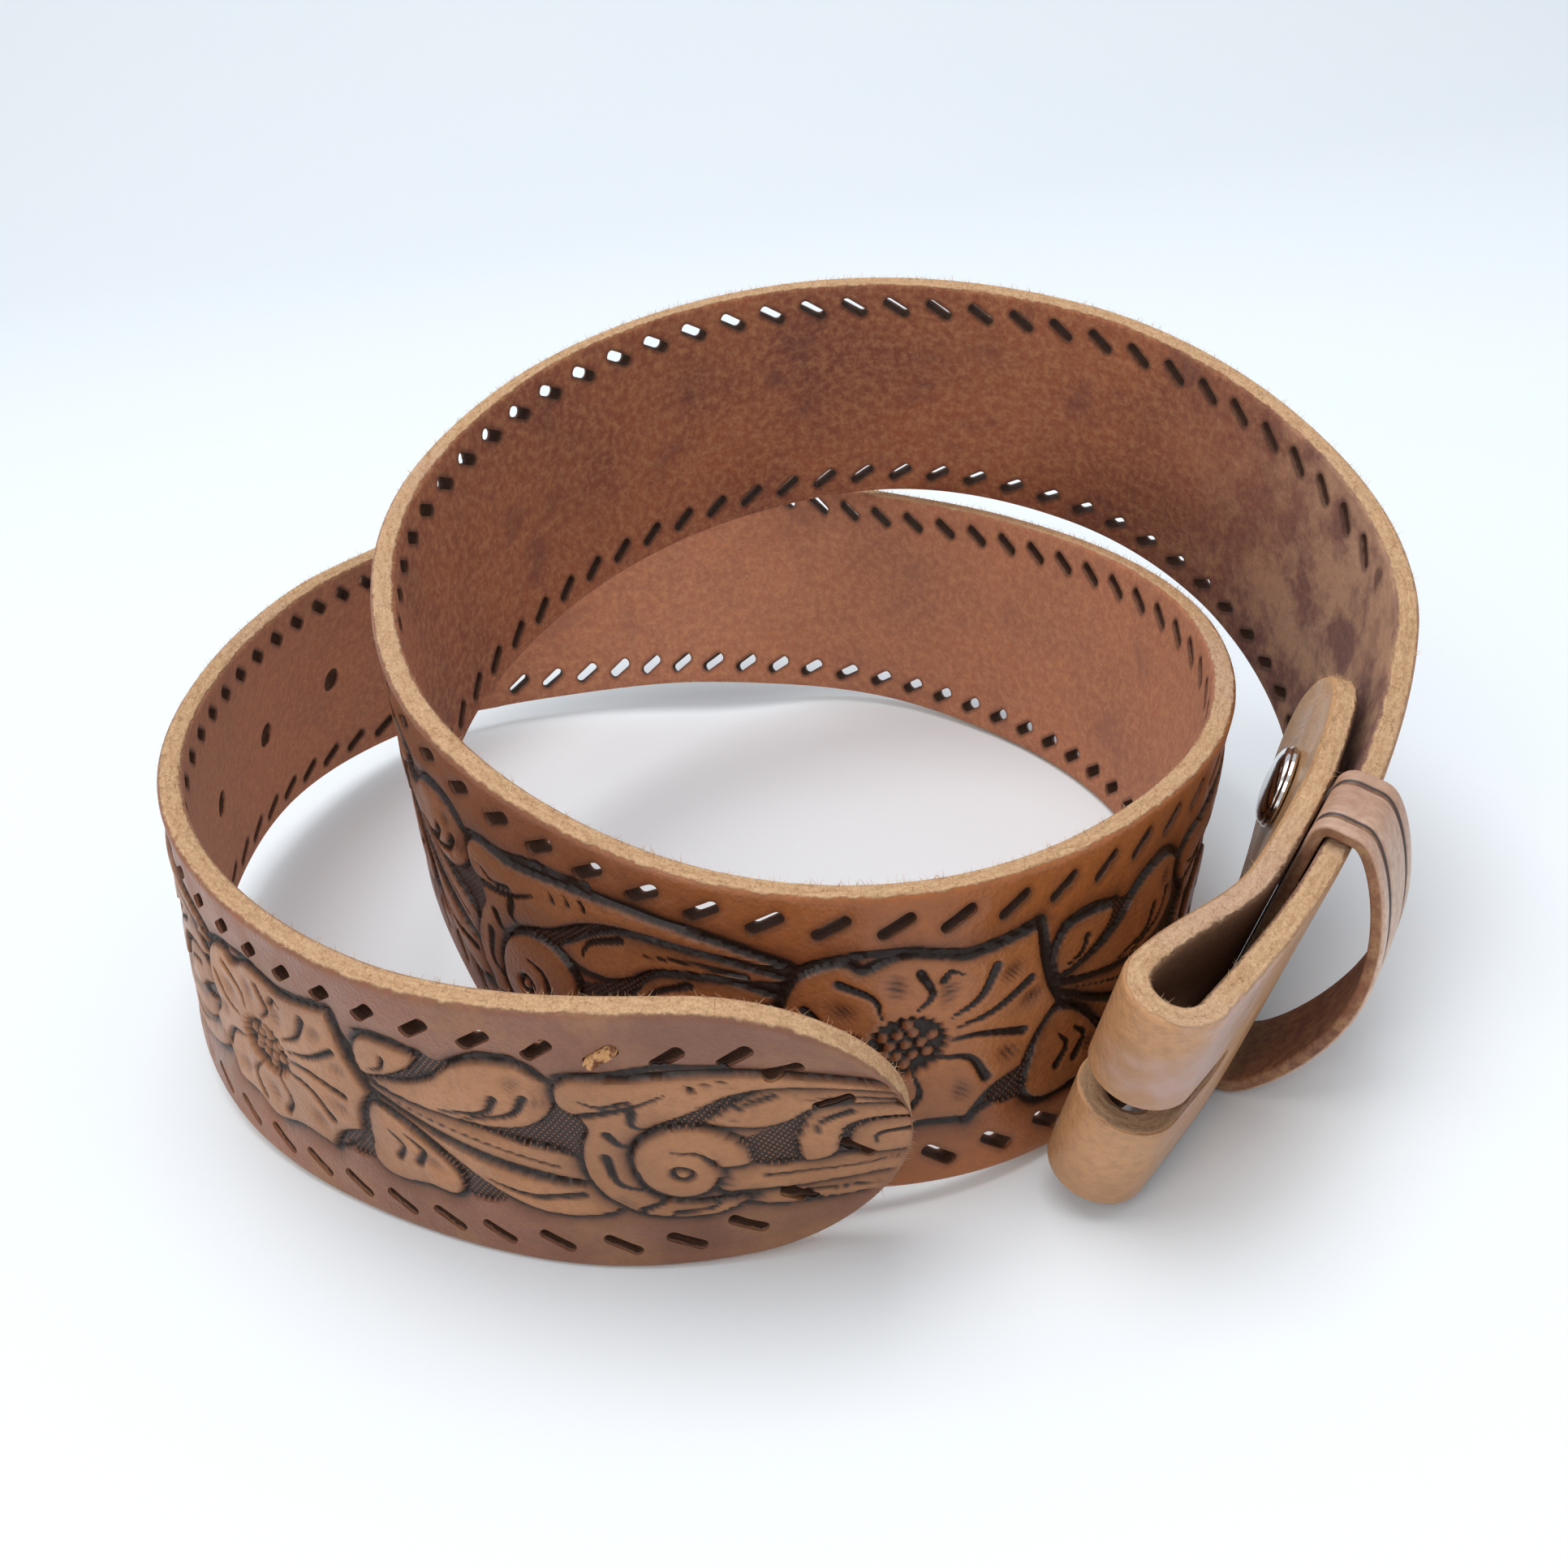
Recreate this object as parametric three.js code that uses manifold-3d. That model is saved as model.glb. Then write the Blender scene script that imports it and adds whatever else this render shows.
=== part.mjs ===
// Western tooled leather belt, lying coiled on its edge.
// One strap is rolled into a loose spiral: the free tip lies at the front, the middle climbs over
// the first turn, and the buckle end comes down at the right, folded back on itself with no buckle.
// Millimetres, +Z up, the coil stands on z = 0 and is centred on the origin.
import * as THREE from 'three';
import { mergeVertices } from 'three/addons/utils/BufferGeometryUtils.js';
import Module from 'manifold-3d';

// Strap
const beltWidth = 44.5;
const leather = 3.5;
const runLength = 992.5;
const tongueLength = 32;
const tonguePower = 1.6;
const stationStep = 6.5;

// Buckle end
const buckleWidth = 35;
const taperLength = 31;
const buckleEndLength = 84;
const foldGap = 6;
const foldEase = 26;
const flapGap = 2.4;
const flapLength = 82;
const flapNose = 15;

// Lacing slots, in two rows along the edges
const slotPitch = 7.8;
const slotLength = 5;
const slotWidth = 1.9;
const slotInset = 4.4;
const slotSlant = 34;
const slotStart = 21.7;
const slotEndMargin = 8;
const slotStride = 2;

// Sizing holes, and the slot for a buckle's prong
const holeCount = 5;
const holePitch = 25.4;
const holeDiameter = 4.8;
const holeToFold = 803;
const prongSlotWidth = 5;
const prongSlotReach = 12;

// Keeper loop
const keeperWidth = 14;
const keeperWall = 1.9;
const keeperFromFold = 45;
const keeperBulge = 8;
const keeperTuck = 1.1;
const keeperSlack = 1;
const keeperCorner = 1;
const keeperSides = 44;
const grooveInset = 3;
const grooveWidth = 0.9;
const grooveDepth = 0.5;

// Snap fastener that closes the fold
const capDiameter = 12.7;
const capHeight = 2.6;
const capRim = 0.7;
const capFlat = 0.36;
const snapFromFold = 64;
const shankDiameter = 4;
const headDiameter = 9;
const headThickness = 0.9;

// Remnant of lace left in one slot of the upper row
const laceSlot = 3;
const laceStandOut = 0.4;

// Fits
const clearance = 0.3;

// How the strap lies. A row for each equal step from the tip to the fold: its heading in degrees,
// the height of its lower edge as a share of the belt's width, and how far its upper edge leans out.
const layOut = [
  { heading: 158.5, lift: 0.11, lean: 29 },
  { heading: 170, lift: 0, lean: 15 },
  { heading: 149, lift: 0, lean: 6 },
  { heading: 129, lift: 0.02, lean: 0 },
  { heading: 104.5, lift: 0.12, lean: -7 },
  { heading: 88.5, lift: 0.16, lean: -13 },
  { heading: 72, lift: 0.18, lean: -17 },
  { heading: 51, lift: 0.13, lean: -13 },
  { heading: 13.5, lift: 0.1, lean: 11 },
  { heading: -13, lift: 0.12, lean: 24 },
  { heading: -31, lift: 0.05, lean: 3 },
  { heading: -52, lift: 0.01, lean: 5 },
  { heading: -71.5, lift: 0, lean: 8 },
  { heading: -94, lift: 0, lean: 10 },
  { heading: -115.5, lift: 0, lean: 9 },
  { heading: -140, lift: 0.02, lean: 3 },
  { heading: -177, lift: 0.1, lean: 2 },
  { heading: -218, lift: 0.24, lean: -1 },
  { heading: -243, lift: 0.43, lean: 2 },
  { heading: -266, lift: 0.61, lean: -2 },
  { heading: -293.5, lift: 0.8, lean: -4 },
  { heading: -316, lift: 0.96, lean: -6 },
  { heading: -341, lift: 1.05, lean: -11 },
  { heading: -372.5, lift: 1.06, lean: -17 },
  { heading: -398.5, lift: 0.93, lean: -13 },
  { heading: -425.5, lift: 0.71, lean: -4 },
  { heading: -449, lift: 0.46, lean: 8 },
  { heading: -478.5, lift: 0.23, lean: 21 },
  { heading: -486, lift: 0.08, lean: 21 },
  { heading: -493, lift: 0.05, lean: 20 },
];

const foldRadius = (foldGap + leather) / 2;
const radians = THREE.MathUtils.degToRad;

// A smooth curve through one column of the table, at u rows from its start.
function tableValue(column, u) {
  const last = layOut.length - 1;
  const row = Math.min(Math.floor(u), last - 1);
  const t = u - row;
  const value = (i) => layOut[i][column];
  const here = value(row);
  const next = value(row + 1);
  const before = row > 0 ? value(row - 1) : 2 * here - next;
  const after = row + 2 <= last ? value(row + 2) : 2 * next - here;
  const bend = 2 * before - 5 * here + 4 * next - after;
  const twist = 3 * (here - next) + after - before;
  return here + 0.5 * t * (next - before + t * (bend + t * twist));
}

// Half the strap's width at a distance from the tip, without the rounded tip itself.
function bodyHalfWidth(along) {
  const taperEnd = runLength - buckleEndLength + taperLength;
  const share = THREE.MathUtils.clamp((taperEnd - along) / taperLength, 0, 1);
  return THREE.MathUtils.lerp(buckleWidth, beltWidth, share) / 2;
}

// Width of a rounded end, as a share of the full width, at a distance from its very end.
function roundedEnd(distance, length, power) {
  if (distance >= length) return 1;
  return Math.sqrt(1 - (1 - distance / length) ** power);
}

// The strap's middle line, walked once in small steps.
function walkMiddleLine() {
  const steps = 2000;
  const step = runLength / steps;
  const points = [];
  for (let i = 0; i <= steps; i++) {
    const along = i * step;
    const u = (along / runLength) * (layOut.length - 1);
    const lean = radians(tableValue('lean', u));
    const lowEdge = Math.max(tableValue('lift', u), 0) * beltWidth;
    const rise = bodyHalfWidth(along) * Math.cos(lean) + (leather / 2) * Math.abs(Math.sin(lean));
    points.push({ along, lean, heading: radians(tableValue('heading', u)), height: lowEdge + rise });
  }
  let x = 0;
  let y = 0;
  points.forEach((point, i) => {
    const before = points[Math.max(i - 1, 0)];
    const after = points[Math.min(i + 1, steps)];
    const slope = (after.height - before.height) / (after.along - before.along);
    point.climb = Math.asin(THREE.MathUtils.clamp(slope, -0.9, 0.9));
    if (i > 0) {
      const level = (step * (Math.cos(point.climb) + Math.cos(before.climb))) / 2;
      const mean = (point.heading + before.heading) / 2;
      x += level * Math.cos(mean);
      y += level * Math.sin(mean);
    }
    point.x = x;
    point.y = y;
  });
  return points;
}

const middleLine = walkMiddleLine();

// The strap's frame at a distance from the tip: where its middle is, the way it runs (forward),
// the way to its upper edge (up) and the way its tooled side faces (out).
function frameAt(along) {
  const place = THREE.MathUtils.clamp(along / runLength, 0, 1) * (middleLine.length - 1);
  const i = Math.min(Math.floor(place), middleLine.length - 2);
  const mix = (name) => THREE.MathUtils.lerp(middleLine[i][name], middleLine[i + 1][name], place - i);
  const heading = mix('heading');
  const climb = mix('climb');
  const lean = mix('lean');
  const forward = new THREE.Vector3(
    Math.cos(climb) * Math.cos(heading),
    Math.cos(climb) * Math.sin(heading),
    Math.sin(climb),
  );
  const side = new THREE.Vector3(-Math.sin(heading), Math.cos(heading), 0);
  const plumb = new THREE.Vector3().crossVectors(forward, side);
  const up = plumb.clone().multiplyScalar(Math.cos(lean)).addScaledVector(side, Math.sin(lean));
  const out = side.clone().multiplyScalar(Math.cos(lean)).addScaledVector(plumb, -Math.sin(lean));
  return { middle: new THREE.Vector3(mix('x'), mix('y'), mix('height')), forward, up, out };
}

// How far the flap's middle lies inside the strap's middle, at a distance back from the fold.
function flapOffset(back) {
  const share = THREE.MathUtils.smoothstep(back, 0, foldEase);
  return THREE.MathUtils.lerp(2 * foldRadius, leather + flapGap, share);
}

// The frame on the flap, at a distance back from the fold. Its tooled side faces into the coil.
function flapFrame(back) {
  const frame = frameAt(runLength - back);
  frame.middle.addScaledVector(frame.out, -flapOffset(back));
  frame.forward.negate();
  frame.out.negate();
  return frame;
}

// The frame on the fold itself, at an angle from 0 where it leaves the strap to pi at the flap.
function foldFrame(angle) {
  const start = frameAt(runLength);
  const centre = start.middle.clone().addScaledVector(start.out, -foldRadius);
  const out = start.out.clone().multiplyScalar(Math.cos(angle));
  out.addScaledVector(start.forward, Math.sin(angle));
  const forward = start.forward.clone().multiplyScalar(Math.cos(angle));
  forward.addScaledVector(start.out, -Math.sin(angle));
  return { middle: centre.addScaledVector(out, foldRadius), forward, up: start.up, out };
}

// Every cross-section of the strap in order: tip, run, fold and flap.
function strapSections() {
  const sections = [];
  const tipSteps = 9;
  for (let i = 1; i <= tipSteps; i++) {
    const along = tongueLength * (i / tipSteps) ** 2;
    const half = bodyHalfWidth(along) * roundedEnd(along, tongueLength, tonguePower);
    sections.push({ ...frameAt(along), half });
  }
  const runSteps = Math.round((runLength - tongueLength) / stationStep);
  for (let i = 1; i <= runSteps; i++) {
    const along = tongueLength + ((runLength - tongueLength) * i) / runSteps;
    sections.push({ ...frameAt(along), half: bodyHalfWidth(along) });
  }
  const foldSteps = 10;
  for (let i = 1; i < foldSteps; i++) {
    sections.push({ ...foldFrame((Math.PI * i) / foldSteps), half: buckleWidth / 2 });
  }
  const flapBody = flapLength - flapNose;
  const flapSteps = Math.round(flapBody / stationStep);
  for (let i = 0; i <= flapSteps; i++) {
    sections.push({ ...flapFrame((flapBody * i) / flapSteps), half: buckleWidth / 2 });
  }
  const noseSteps = 6;
  for (let i = noseSteps - 1; i >= 1; i--) {
    const fromEnd = flapNose * (i / noseSteps) ** 2;
    const half = (buckleWidth / 2) * roundedEnd(fromEnd, flapNose, 2);
    sections.push({ ...flapFrame(flapLength - fromEnd), half });
  }
  return sections;
}

// A closed skin over a row of cross-sections, each an equal ring of points. The row has two ends,
// or runs round a loop.
function skin(rings, loop = false) {
  const size = rings[0].length;
  const positions = rings.flat().flatMap((point) => point.toArray());
  const index = [];
  const spans = loop ? rings.length : rings.length - 1;
  for (let i = 0; i < spans; i++) {
    const after = (i + 1) % rings.length;
    for (let j = 0; j < size; j++) {
      const k = (j + 1) % size;
      const [a, b] = [i * size + j, i * size + k];
      const [c, d] = [after * size + k, after * size + j];
      index.push(a, b, c, a, c, d);
    }
  }
  const last = (rings.length - 1) * size;
  for (let j = 1; j + 1 < size && !loop; j++) {
    index.push(0, j + 1, j);
    index.push(last, last + j, last + j + 1);
  }
  const geometry = new THREE.BufferGeometry();
  geometry.setAttribute('position', new THREE.Float32BufferAttribute(positions, 3));
  geometry.setIndex(index);
  return geometry;
}

// A point in a frame: forward, up and out of its middle.
function pointIn(frame, forward, up, out) {
  return frame.middle.clone()
    .addScaledVector(frame.forward, forward)
    .addScaledVector(frame.up, up)
    .addScaledVector(frame.out, out);
}

// Moves a geometry made with x forward, y out and z up into a frame.
function placeIn(geometry, frame) {
  const basis = new THREE.Matrix4().makeBasis(frame.forward, frame.out, frame.up);
  return geometry.applyMatrix4(basis.setPosition(frame.middle));
}

const wasm = await Module();
wasm.setup();

function solid(geometry) {
  const bare = geometry.clone();
  bare.deleteAttribute('normal');
  bare.deleteAttribute('uv');
  const merged = mergeVertices(bare, 1e-5);
  const corners = merged.index.array;
  const triangles = [];
  for (let i = 0; i < corners.length; i += 3) {
    const [a, b, c] = corners.slice(i, i + 3);
    if (a !== b && b !== c && c !== a) triangles.push(a, b, c);
  }
  return new wasm.Manifold(new wasm.Mesh({
    numProp: 3,
    vertProperties: merged.attributes.position.array,
    triVerts: new Uint32Array(triangles),
  }));
}

function geometryOf(manifold) {
  const mesh = manifold.getMesh();
  const geometry = new THREE.BufferGeometry();
  geometry.setAttribute('position', new THREE.BufferAttribute(mesh.vertProperties, 3));
  geometry.setIndex(new THREE.BufferAttribute(mesh.triVerts, 1));
  return geometry;
}

function ringOf({ half, ...frame }) {
  const corners = [[-1, -1], [-1, 1], [1, 1], [1, -1]];
  return corners.map(([up, out]) => pointIn(frame, 0, up * half, (out * leather) / 2));
}

// A cutter for one lacing slot, slanted up towards the tip in the upper row and down in the lower.
function slotCutter(along, row) {
  const frame = frameAt(along);
  const edge = bodyHalfWidth(along) * Math.min(roundedEnd(along, tongueLength, tonguePower), 1);
  const box = new THREE.BoxGeometry(slotLength, leather * 3, slotWidth);
  box.rotateY(row * radians(slotSlant));
  box.translate(0, 0, row * (edge - slotInset));
  return solid(placeIn(box, frame));
}

// A round cutter through the strap or the flap.
function roundCutter(frame, diameter, sides) {
  const drill = new THREE.CylinderGeometry(diameter / 2, diameter / 2, leather * 2, sides);
  return solid(placeIn(drill, frame));
}

// The long oval slot for a prong, cut through the fold and both of its sides.
function prongCutter() {
  const frame = frameAt(runLength);
  const depth = 2 * foldRadius + 2 * leather;
  const length = prongSlotReach - prongSlotWidth / 2 + foldRadius + leather;
  const middleOut = -foldRadius;
  const box = new THREE.BoxGeometry(length, depth, prongSlotWidth);
  box.translate(length / 2 - prongSlotReach + prongSlotWidth / 2, middleOut, 0);
  const end = new THREE.CylinderGeometry(prongSlotWidth / 2, prongSlotWidth / 2, depth, 12);
  end.translate(-prongSlotReach + prongSlotWidth / 2, middleOut, 0);
  return solid(placeIn(box, frame)).add(solid(placeIn(end, frame)));
}

const slotAlong = (number) => slotStart + (number - 1) * slotPitch;
const lastSlotAlong = runLength - buckleEndLength - slotEndMargin;

function strapGeometry() {
  let strap = solid(skin(strapSections().map(ringOf)));
  for (let number = 1; slotAlong(number) <= lastSlotAlong; number += slotStride) {
    for (const row of [1, -1]) {
      strap = strap.subtract(slotCutter(slotAlong(number), row));
    }
  }
  for (let i = 0; i < holeCount; i++) {
    const along = runLength - holeToFold + (i - (holeCount - 1) / 2) * holePitch;
    strap = strap.subtract(roundCutter(frameAt(along), holeDiameter, 12));
  }
  const shankHole = shankDiameter + 2 * clearance;
  strap = strap.subtract(prongCutter());
  strap = strap.subtract(roundCutter(frameAt(runLength - snapFromFold), shankHole, 12));
  strap = strap.subtract(roundCutter(flapFrame(snapFromFold), shankHole, 12));
  return geometryOf(strap);
}

// The keeper's inner outline, seen along the strap: flat on the flap's side, bulging on the outer.
// It sits on the strap's upper edge and hangs down until it meets the surface.
function keeperOutline(frame) {
  const inner = -(leather * 1.5 + flapGap + keeperSlack);
  const outer = leather / 2 + keeperSlack;
  const top = buckleWidth / 2 + keeperSlack;
  const bottom = keeperWall + keeperTuck - frame.middle.z / frame.up.z;
  const belly = outer + keeperBulge;
  const outline = new THREE.Shape();
  outline.moveTo(inner, bottom + keeperCorner);
  outline.lineTo(inner, top - keeperCorner);
  outline.quadraticCurveTo(inner, top, inner + keeperCorner, top);
  outline.lineTo(outer - keeperCorner, top);
  outline.bezierCurveTo(outer + keeperCorner, top, belly, top / 2, belly, (top + bottom) / 2);
  outline.bezierCurveTo(belly, bottom / 2, outer + keeperCorner, bottom, outer - keeperCorner, bottom);
  outline.lineTo(inner + keeperCorner, bottom);
  outline.quadraticCurveTo(inner, bottom, inner, bottom + keeperCorner);
  return outline.getSpacedPoints(keeperSides).slice(0, keeperSides);
}

// The band's cross-section: distances along the strap and out from the keeper's inner side.
function keeperSection() {
  const half = keeperWidth / 2;
  const groove = (middle) => [
    [middle - grooveWidth / 2, keeperWall],
    [middle, keeperWall - grooveDepth],
    [middle + grooveWidth / 2, keeperWall],
  ];
  const left = groove(grooveInset - half);
  const right = groove(half - grooveInset);
  return [[-half, 0], [-half, keeperWall], ...left, ...right, [half, keeperWall], [half, 0]];
}

// The band follows the strap inside it, so each edge of its section has its own frame and outline.
function keeperGeometry() {
  const section = keeperSection().map(([forward, wall]) => {
    const frame = frameAt(runLength - keeperFromFold + forward);
    return { frame, wall, outline: keeperOutline(frame) };
  });
  const rings = [];
  for (let i = 0; i < keeperSides; i++) {
    rings.push(section.map(({ frame, wall, outline }) => {
      const next = outline[(i + 1) % keeperSides];
      const before = outline[(i + keeperSides - 1) % keeperSides];
      const run = next.clone().sub(before).normalize();
      return pointIn(frame, 0, outline[i].y + run.x * wall, outline[i].x - run.y * wall);
    }));
  }
  return skin(rings, true);
}

// Turns a half profile, given as radius and height pairs, about the way out of a frame.
function turned(profile, frame, sides) {
  const points = profile.map(([radius, height]) => new THREE.Vector2(radius, height));
  const lathe = new THREE.LatheGeometry(points, sides);
  return geometryOf(solid(placeIn(lathe, frame)));
}

// The polished cap on the flap, with its shank down through the flap.
function capGeometry() {
  const seat = leather / 2 + clearance;
  const shankEnd = -leather / 2 - clearance;
  const profile = [[0, shankEnd], [shankDiameter / 2, shankEnd], [shankDiameter / 2, seat]];
  profile.push([capDiameter / 2 - capRim / 2, seat], [capDiameter / 2, seat + capRim]);
  const steps = 4;
  for (let i = 1; i <= steps; i++) {
    const angle = (i / steps) * (Math.PI / 2);
    const reach = THREE.MathUtils.lerp(capFlat, 1, Math.cos(angle));
    const height = seat + capRim + (capHeight - capRim) * Math.sin(angle);
    profile.push([(capDiameter / 2) * reach, height]);
  }
  profile.push([0, seat + capHeight]);
  return turned(profile, flapFrame(snapFromFold), 24);
}

// The plain post: a head between flap and strap, a shank through the strap and a flange outside.
function postGeometry() {
  const inside = -leather / 2 - clearance;
  const outside = leather / 2 + clearance;
  const radius = headDiameter / 2;
  const profile = [
    [0, inside - headThickness], [radius, inside - headThickness], [radius, inside],
    [shankDiameter / 2, inside], [shankDiameter / 2, outside],
    [radius, outside], [radius, outside + headThickness], [0, outside + headThickness],
  ];
  return turned(profile, frameAt(runLength - snapFromFold), 16);
}

// The scrap of lace caught in a slot of the upper row.
function laceGeometry() {
  const along = slotAlong(laceSlot);
  const length = slotLength - 2 * clearance;
  const scrap = new THREE.BoxGeometry(length, leather + 2 * laceStandOut, slotWidth - 2 * clearance);
  scrap.rotateY(radians(slotSlant));
  scrap.translate(0, 0, bodyHalfWidth(along) - slotInset);
  return placeIn(scrap, frameAt(along));
}

const finishes = {
  strap: { color: 0x9a6a45, roughness: 0.62, metalness: 0 },
  keeper: { color: 0xbe967d, roughness: 0.6, metalness: 0 },
  snap_cap: { color: 0xc9c9cb, roughness: 0.14, metalness: 1 },
  snap_post: { color: 0xb4b2ae, roughness: 0.3, metalness: 1 },
  lace_remnant: { color: 0xc8a57c, roughness: 0.8, metalness: 0 },
};

const shapes = {
  strap: strapGeometry(),
  keeper: keeperGeometry(),
  snap_cap: capGeometry(),
  snap_post: postGeometry(),
  lace_remnant: laceGeometry(),
};

const belt = new THREE.Group();
for (const [name, geometry] of Object.entries(shapes)) {
  const mesh = new THREE.Mesh(geometry, new THREE.MeshStandardMaterial(finishes[name]));
  mesh.name = name;
  belt.add(mesh);
}

// Stand the coil on z = 0 with the middle of its box over the origin.
const box = new THREE.Box3().setFromObject(belt, true);
const middle = box.getCenter(new THREE.Vector3());
belt.position.set(-middle.x, -middle.y, -box.min.z);
belt.updateMatrixWorld(true);

export default belt;
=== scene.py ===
"""A western tooled leather belt, lying coiled on its edge.

The strap is made flat, as a belt maker does it: cut to shape, punched, carved, and then rolled up
along the path that the coil takes. Flat places are (along, across, out) in millimetres: along from
the tip, across from the strap's middle line, out from the middle of the leather to the grain side.
"""

import math

import bmesh
import bpy
import numpy as np
from mathutils import Matrix, Vector


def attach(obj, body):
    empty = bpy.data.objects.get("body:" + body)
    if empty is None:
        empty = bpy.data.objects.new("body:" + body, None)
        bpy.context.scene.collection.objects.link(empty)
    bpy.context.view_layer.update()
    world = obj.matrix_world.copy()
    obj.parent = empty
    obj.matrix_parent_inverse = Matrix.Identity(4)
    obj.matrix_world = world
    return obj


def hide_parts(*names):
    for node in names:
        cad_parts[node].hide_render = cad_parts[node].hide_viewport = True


bl_info = {
    "name": "Tooled leather belt",
    "version": (1, 0, 0),
    "blender": (4, 5, 0),
    "location": "View3D > Sidebar > Belt",
    "description": "Makes a western tooled leather belt, coiled on its edge, piece by piece",
    "category": "Object",
}

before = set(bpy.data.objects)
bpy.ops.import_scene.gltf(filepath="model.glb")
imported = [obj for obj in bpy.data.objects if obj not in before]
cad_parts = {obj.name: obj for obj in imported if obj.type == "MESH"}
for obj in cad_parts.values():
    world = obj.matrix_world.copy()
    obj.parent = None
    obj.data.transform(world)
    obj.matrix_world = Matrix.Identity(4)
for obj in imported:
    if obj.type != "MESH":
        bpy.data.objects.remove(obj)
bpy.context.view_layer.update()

MM = 0.001


# Sizes and colours that a user would change

class BeltSizes(bpy.types.PropertyGroup):
    """Sizes of the belt. Lengths are in metres."""

    edge_round: bpy.props.FloatProperty(
        name="Edge rounding", description="Radius of the strap's worn edges",
        default=0.0008, unit="LENGTH")
    carving_depth: bpy.props.FloatProperty(
        name="Carving depth", description="Depth of one unit of the carved relief",
        default=0.001, unit="LENGTH")
    carving_step: bpy.props.FloatProperty(
        name="Carving step", description="Spacing of the mesh in the carved band",
        default=0.0004, unit="LENGTH")
    slot_length: bpy.props.FloatProperty(
        name="Slot length", description="Length of a lacing slot", default=0.0052, unit="LENGTH")
    slot_width: bpy.props.FloatProperty(
        name="Slot width", description="Width of a lacing slot", default=0.0019, unit="LENGTH")
    slot_pitch: bpy.props.FloatProperty(
        name="Slot pitch", description="Distance between lacing slots", default=0.0078,
        unit="LENGTH")
    hole_diameter: bpy.props.FloatProperty(
        name="Hole diameter", description="Diameter of a sizing hole", default=0.0048,
        unit="LENGTH")
    keeper_width: bpy.props.FloatProperty(
        name="Keeper width", description="Width of the keeper loop", default=0.014,
        unit="LENGTH")
    keeper_wall: bpy.props.FloatProperty(
        name="Keeper wall", description="Thickness of the keeper", default=0.0019,
        unit="LENGTH")
    fibre_length: bpy.props.FloatProperty(
        name="Fibre length", description="Length of the loose fibres on raw edges",
        default=0.001, unit="LENGTH")
    cap_diameter: bpy.props.FloatProperty(
        name="Cap diameter", description="Diameter of the snap's cap", default=0.0127,
        unit="LENGTH")


class BeltColours(bpy.types.PropertyGroup):
    """Colours of the belt, as linear values."""

    grain: bpy.props.FloatVectorProperty(
        name="Grain", description="Tan of the tooled side", subtype="COLOR", size=4,
        default=(0.40, 0.125, 0.032, 1))
    grain_tip: bpy.props.FloatVectorProperty(
        name="Worn tip", description="Browner tan towards the tip", subtype="COLOR", size=4,
        default=(0.245, 0.098, 0.056, 1))
    motif: bpy.props.FloatVectorProperty(
        name="Motif", description="Lighter tan of the raised carving", subtype="COLOR", size=4,
        default=(0.46, 0.20, 0.078, 1))
    stain: bpy.props.FloatVectorProperty(
        name="Stain", description="Antique stain in the cuts", subtype="COLOR", size=4,
        default=(0.018, 0.008, 0.0045, 1))
    flesh: bpy.props.FloatVectorProperty(
        name="Flesh", description="Red brown of the rough side", subtype="COLOR", size=4,
        default=(0.35, 0.11, 0.05, 1))
    edge: bpy.props.FloatVectorProperty(
        name="Edge", description="Raw cut edge", subtype="COLOR", size=4,
        default=(0.64, 0.41, 0.23, 1))
    keeper: bpy.props.FloatVectorProperty(
        name="Keeper", description="Grain side of the keeper", subtype="COLOR", size=4,
        default=(0.70, 0.49, 0.37, 1))
    floor: bpy.props.FloatVectorProperty(
        name="Floor", description="Pale surface under the belt", subtype="COLOR", size=4,
        default=(0.86, 0.91, 0.95, 1))


# The strap's lay-out, in millimetres

RUN_LENGTH = 992.5
TIP_START = 3.9
TONGUE_LENGTH = 24.2
TONGUE_POWER = 2.2
BUCKLE_WIDTH = 35
TAPER_LENGTH = 31
BUCKLE_END = 84
FOLD_GAP = 6
FOLD_EASE = 26
FLAP_GAP = 2.4
FLAP_LENGTH = 82
FLAP_NOSE = 15
BELT_WIDTH = 44.5
LEATHER = 3.5
SLOT_START = 21.7
SLOT_PITCH = 7.8
SLOT_INSET = 4.4
SLOT_SLANT = 34
HOLE_TO_FOLD = 803
HOLE_PITCH = 25.4
PRONG_WIDTH = 5
PRONG_REACH = 12
SNAP_FROM_FOLD = 64
KEEPER_FROM_FOLD = 45
FOLD_RADIUS = (FOLD_GAP + LEATHER) / 2
FOLD_ARC = math.pi * FOLD_RADIUS
FLAT_LENGTH = RUN_LENGTH + FOLD_ARC + FLAP_LENGTH
PLAIN_FROM = 868
# Where the strap's run ends and its fold starts
FOLD_PLACE = (45.73, -90.356)

# A row for each equal step from the tip to the fold: heading in degrees, height of the lower edge
# as a share of the width, and how far the upper edge leans out, in degrees.
LAY_OUT = np.array([
    (177.6, 0.088, 20.7), (171, 0.01, 9.3), (146.8, 0, 5.7), (129.4, 0.028, -1.2),
    (104.5, 0.12, -7),
    (88.5, 0.16, -13), (72, 0.18, -17), (51, 0.13, -13), (13.5, 0.10, 11), (-13, 0.12, 24),
    (-31, 0.05, 3), (-52, 0.01, 5), (-71.5, 0, 8), (-94, 0, 10), (-115.5, 0, 9),
    (-140, 0.02, 3), (-177, 0.10, 2), (-218, 0.24, -1), (-243, 0.43, 2), (-266, 0.61, -2),
    (-293.5, 0.80, -4), (-316, 0.96, -6), (-341, 1.05, -11), (-372.5, 1.06, -17),
    (-398.5, 0.93, -13), (-425.5, 0.71, -4), (-449, 0.46, 8), (-478.5, 0.23, 21),
    (-486, 0.08, 21), (-493, 0.05, 20),
])


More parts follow.
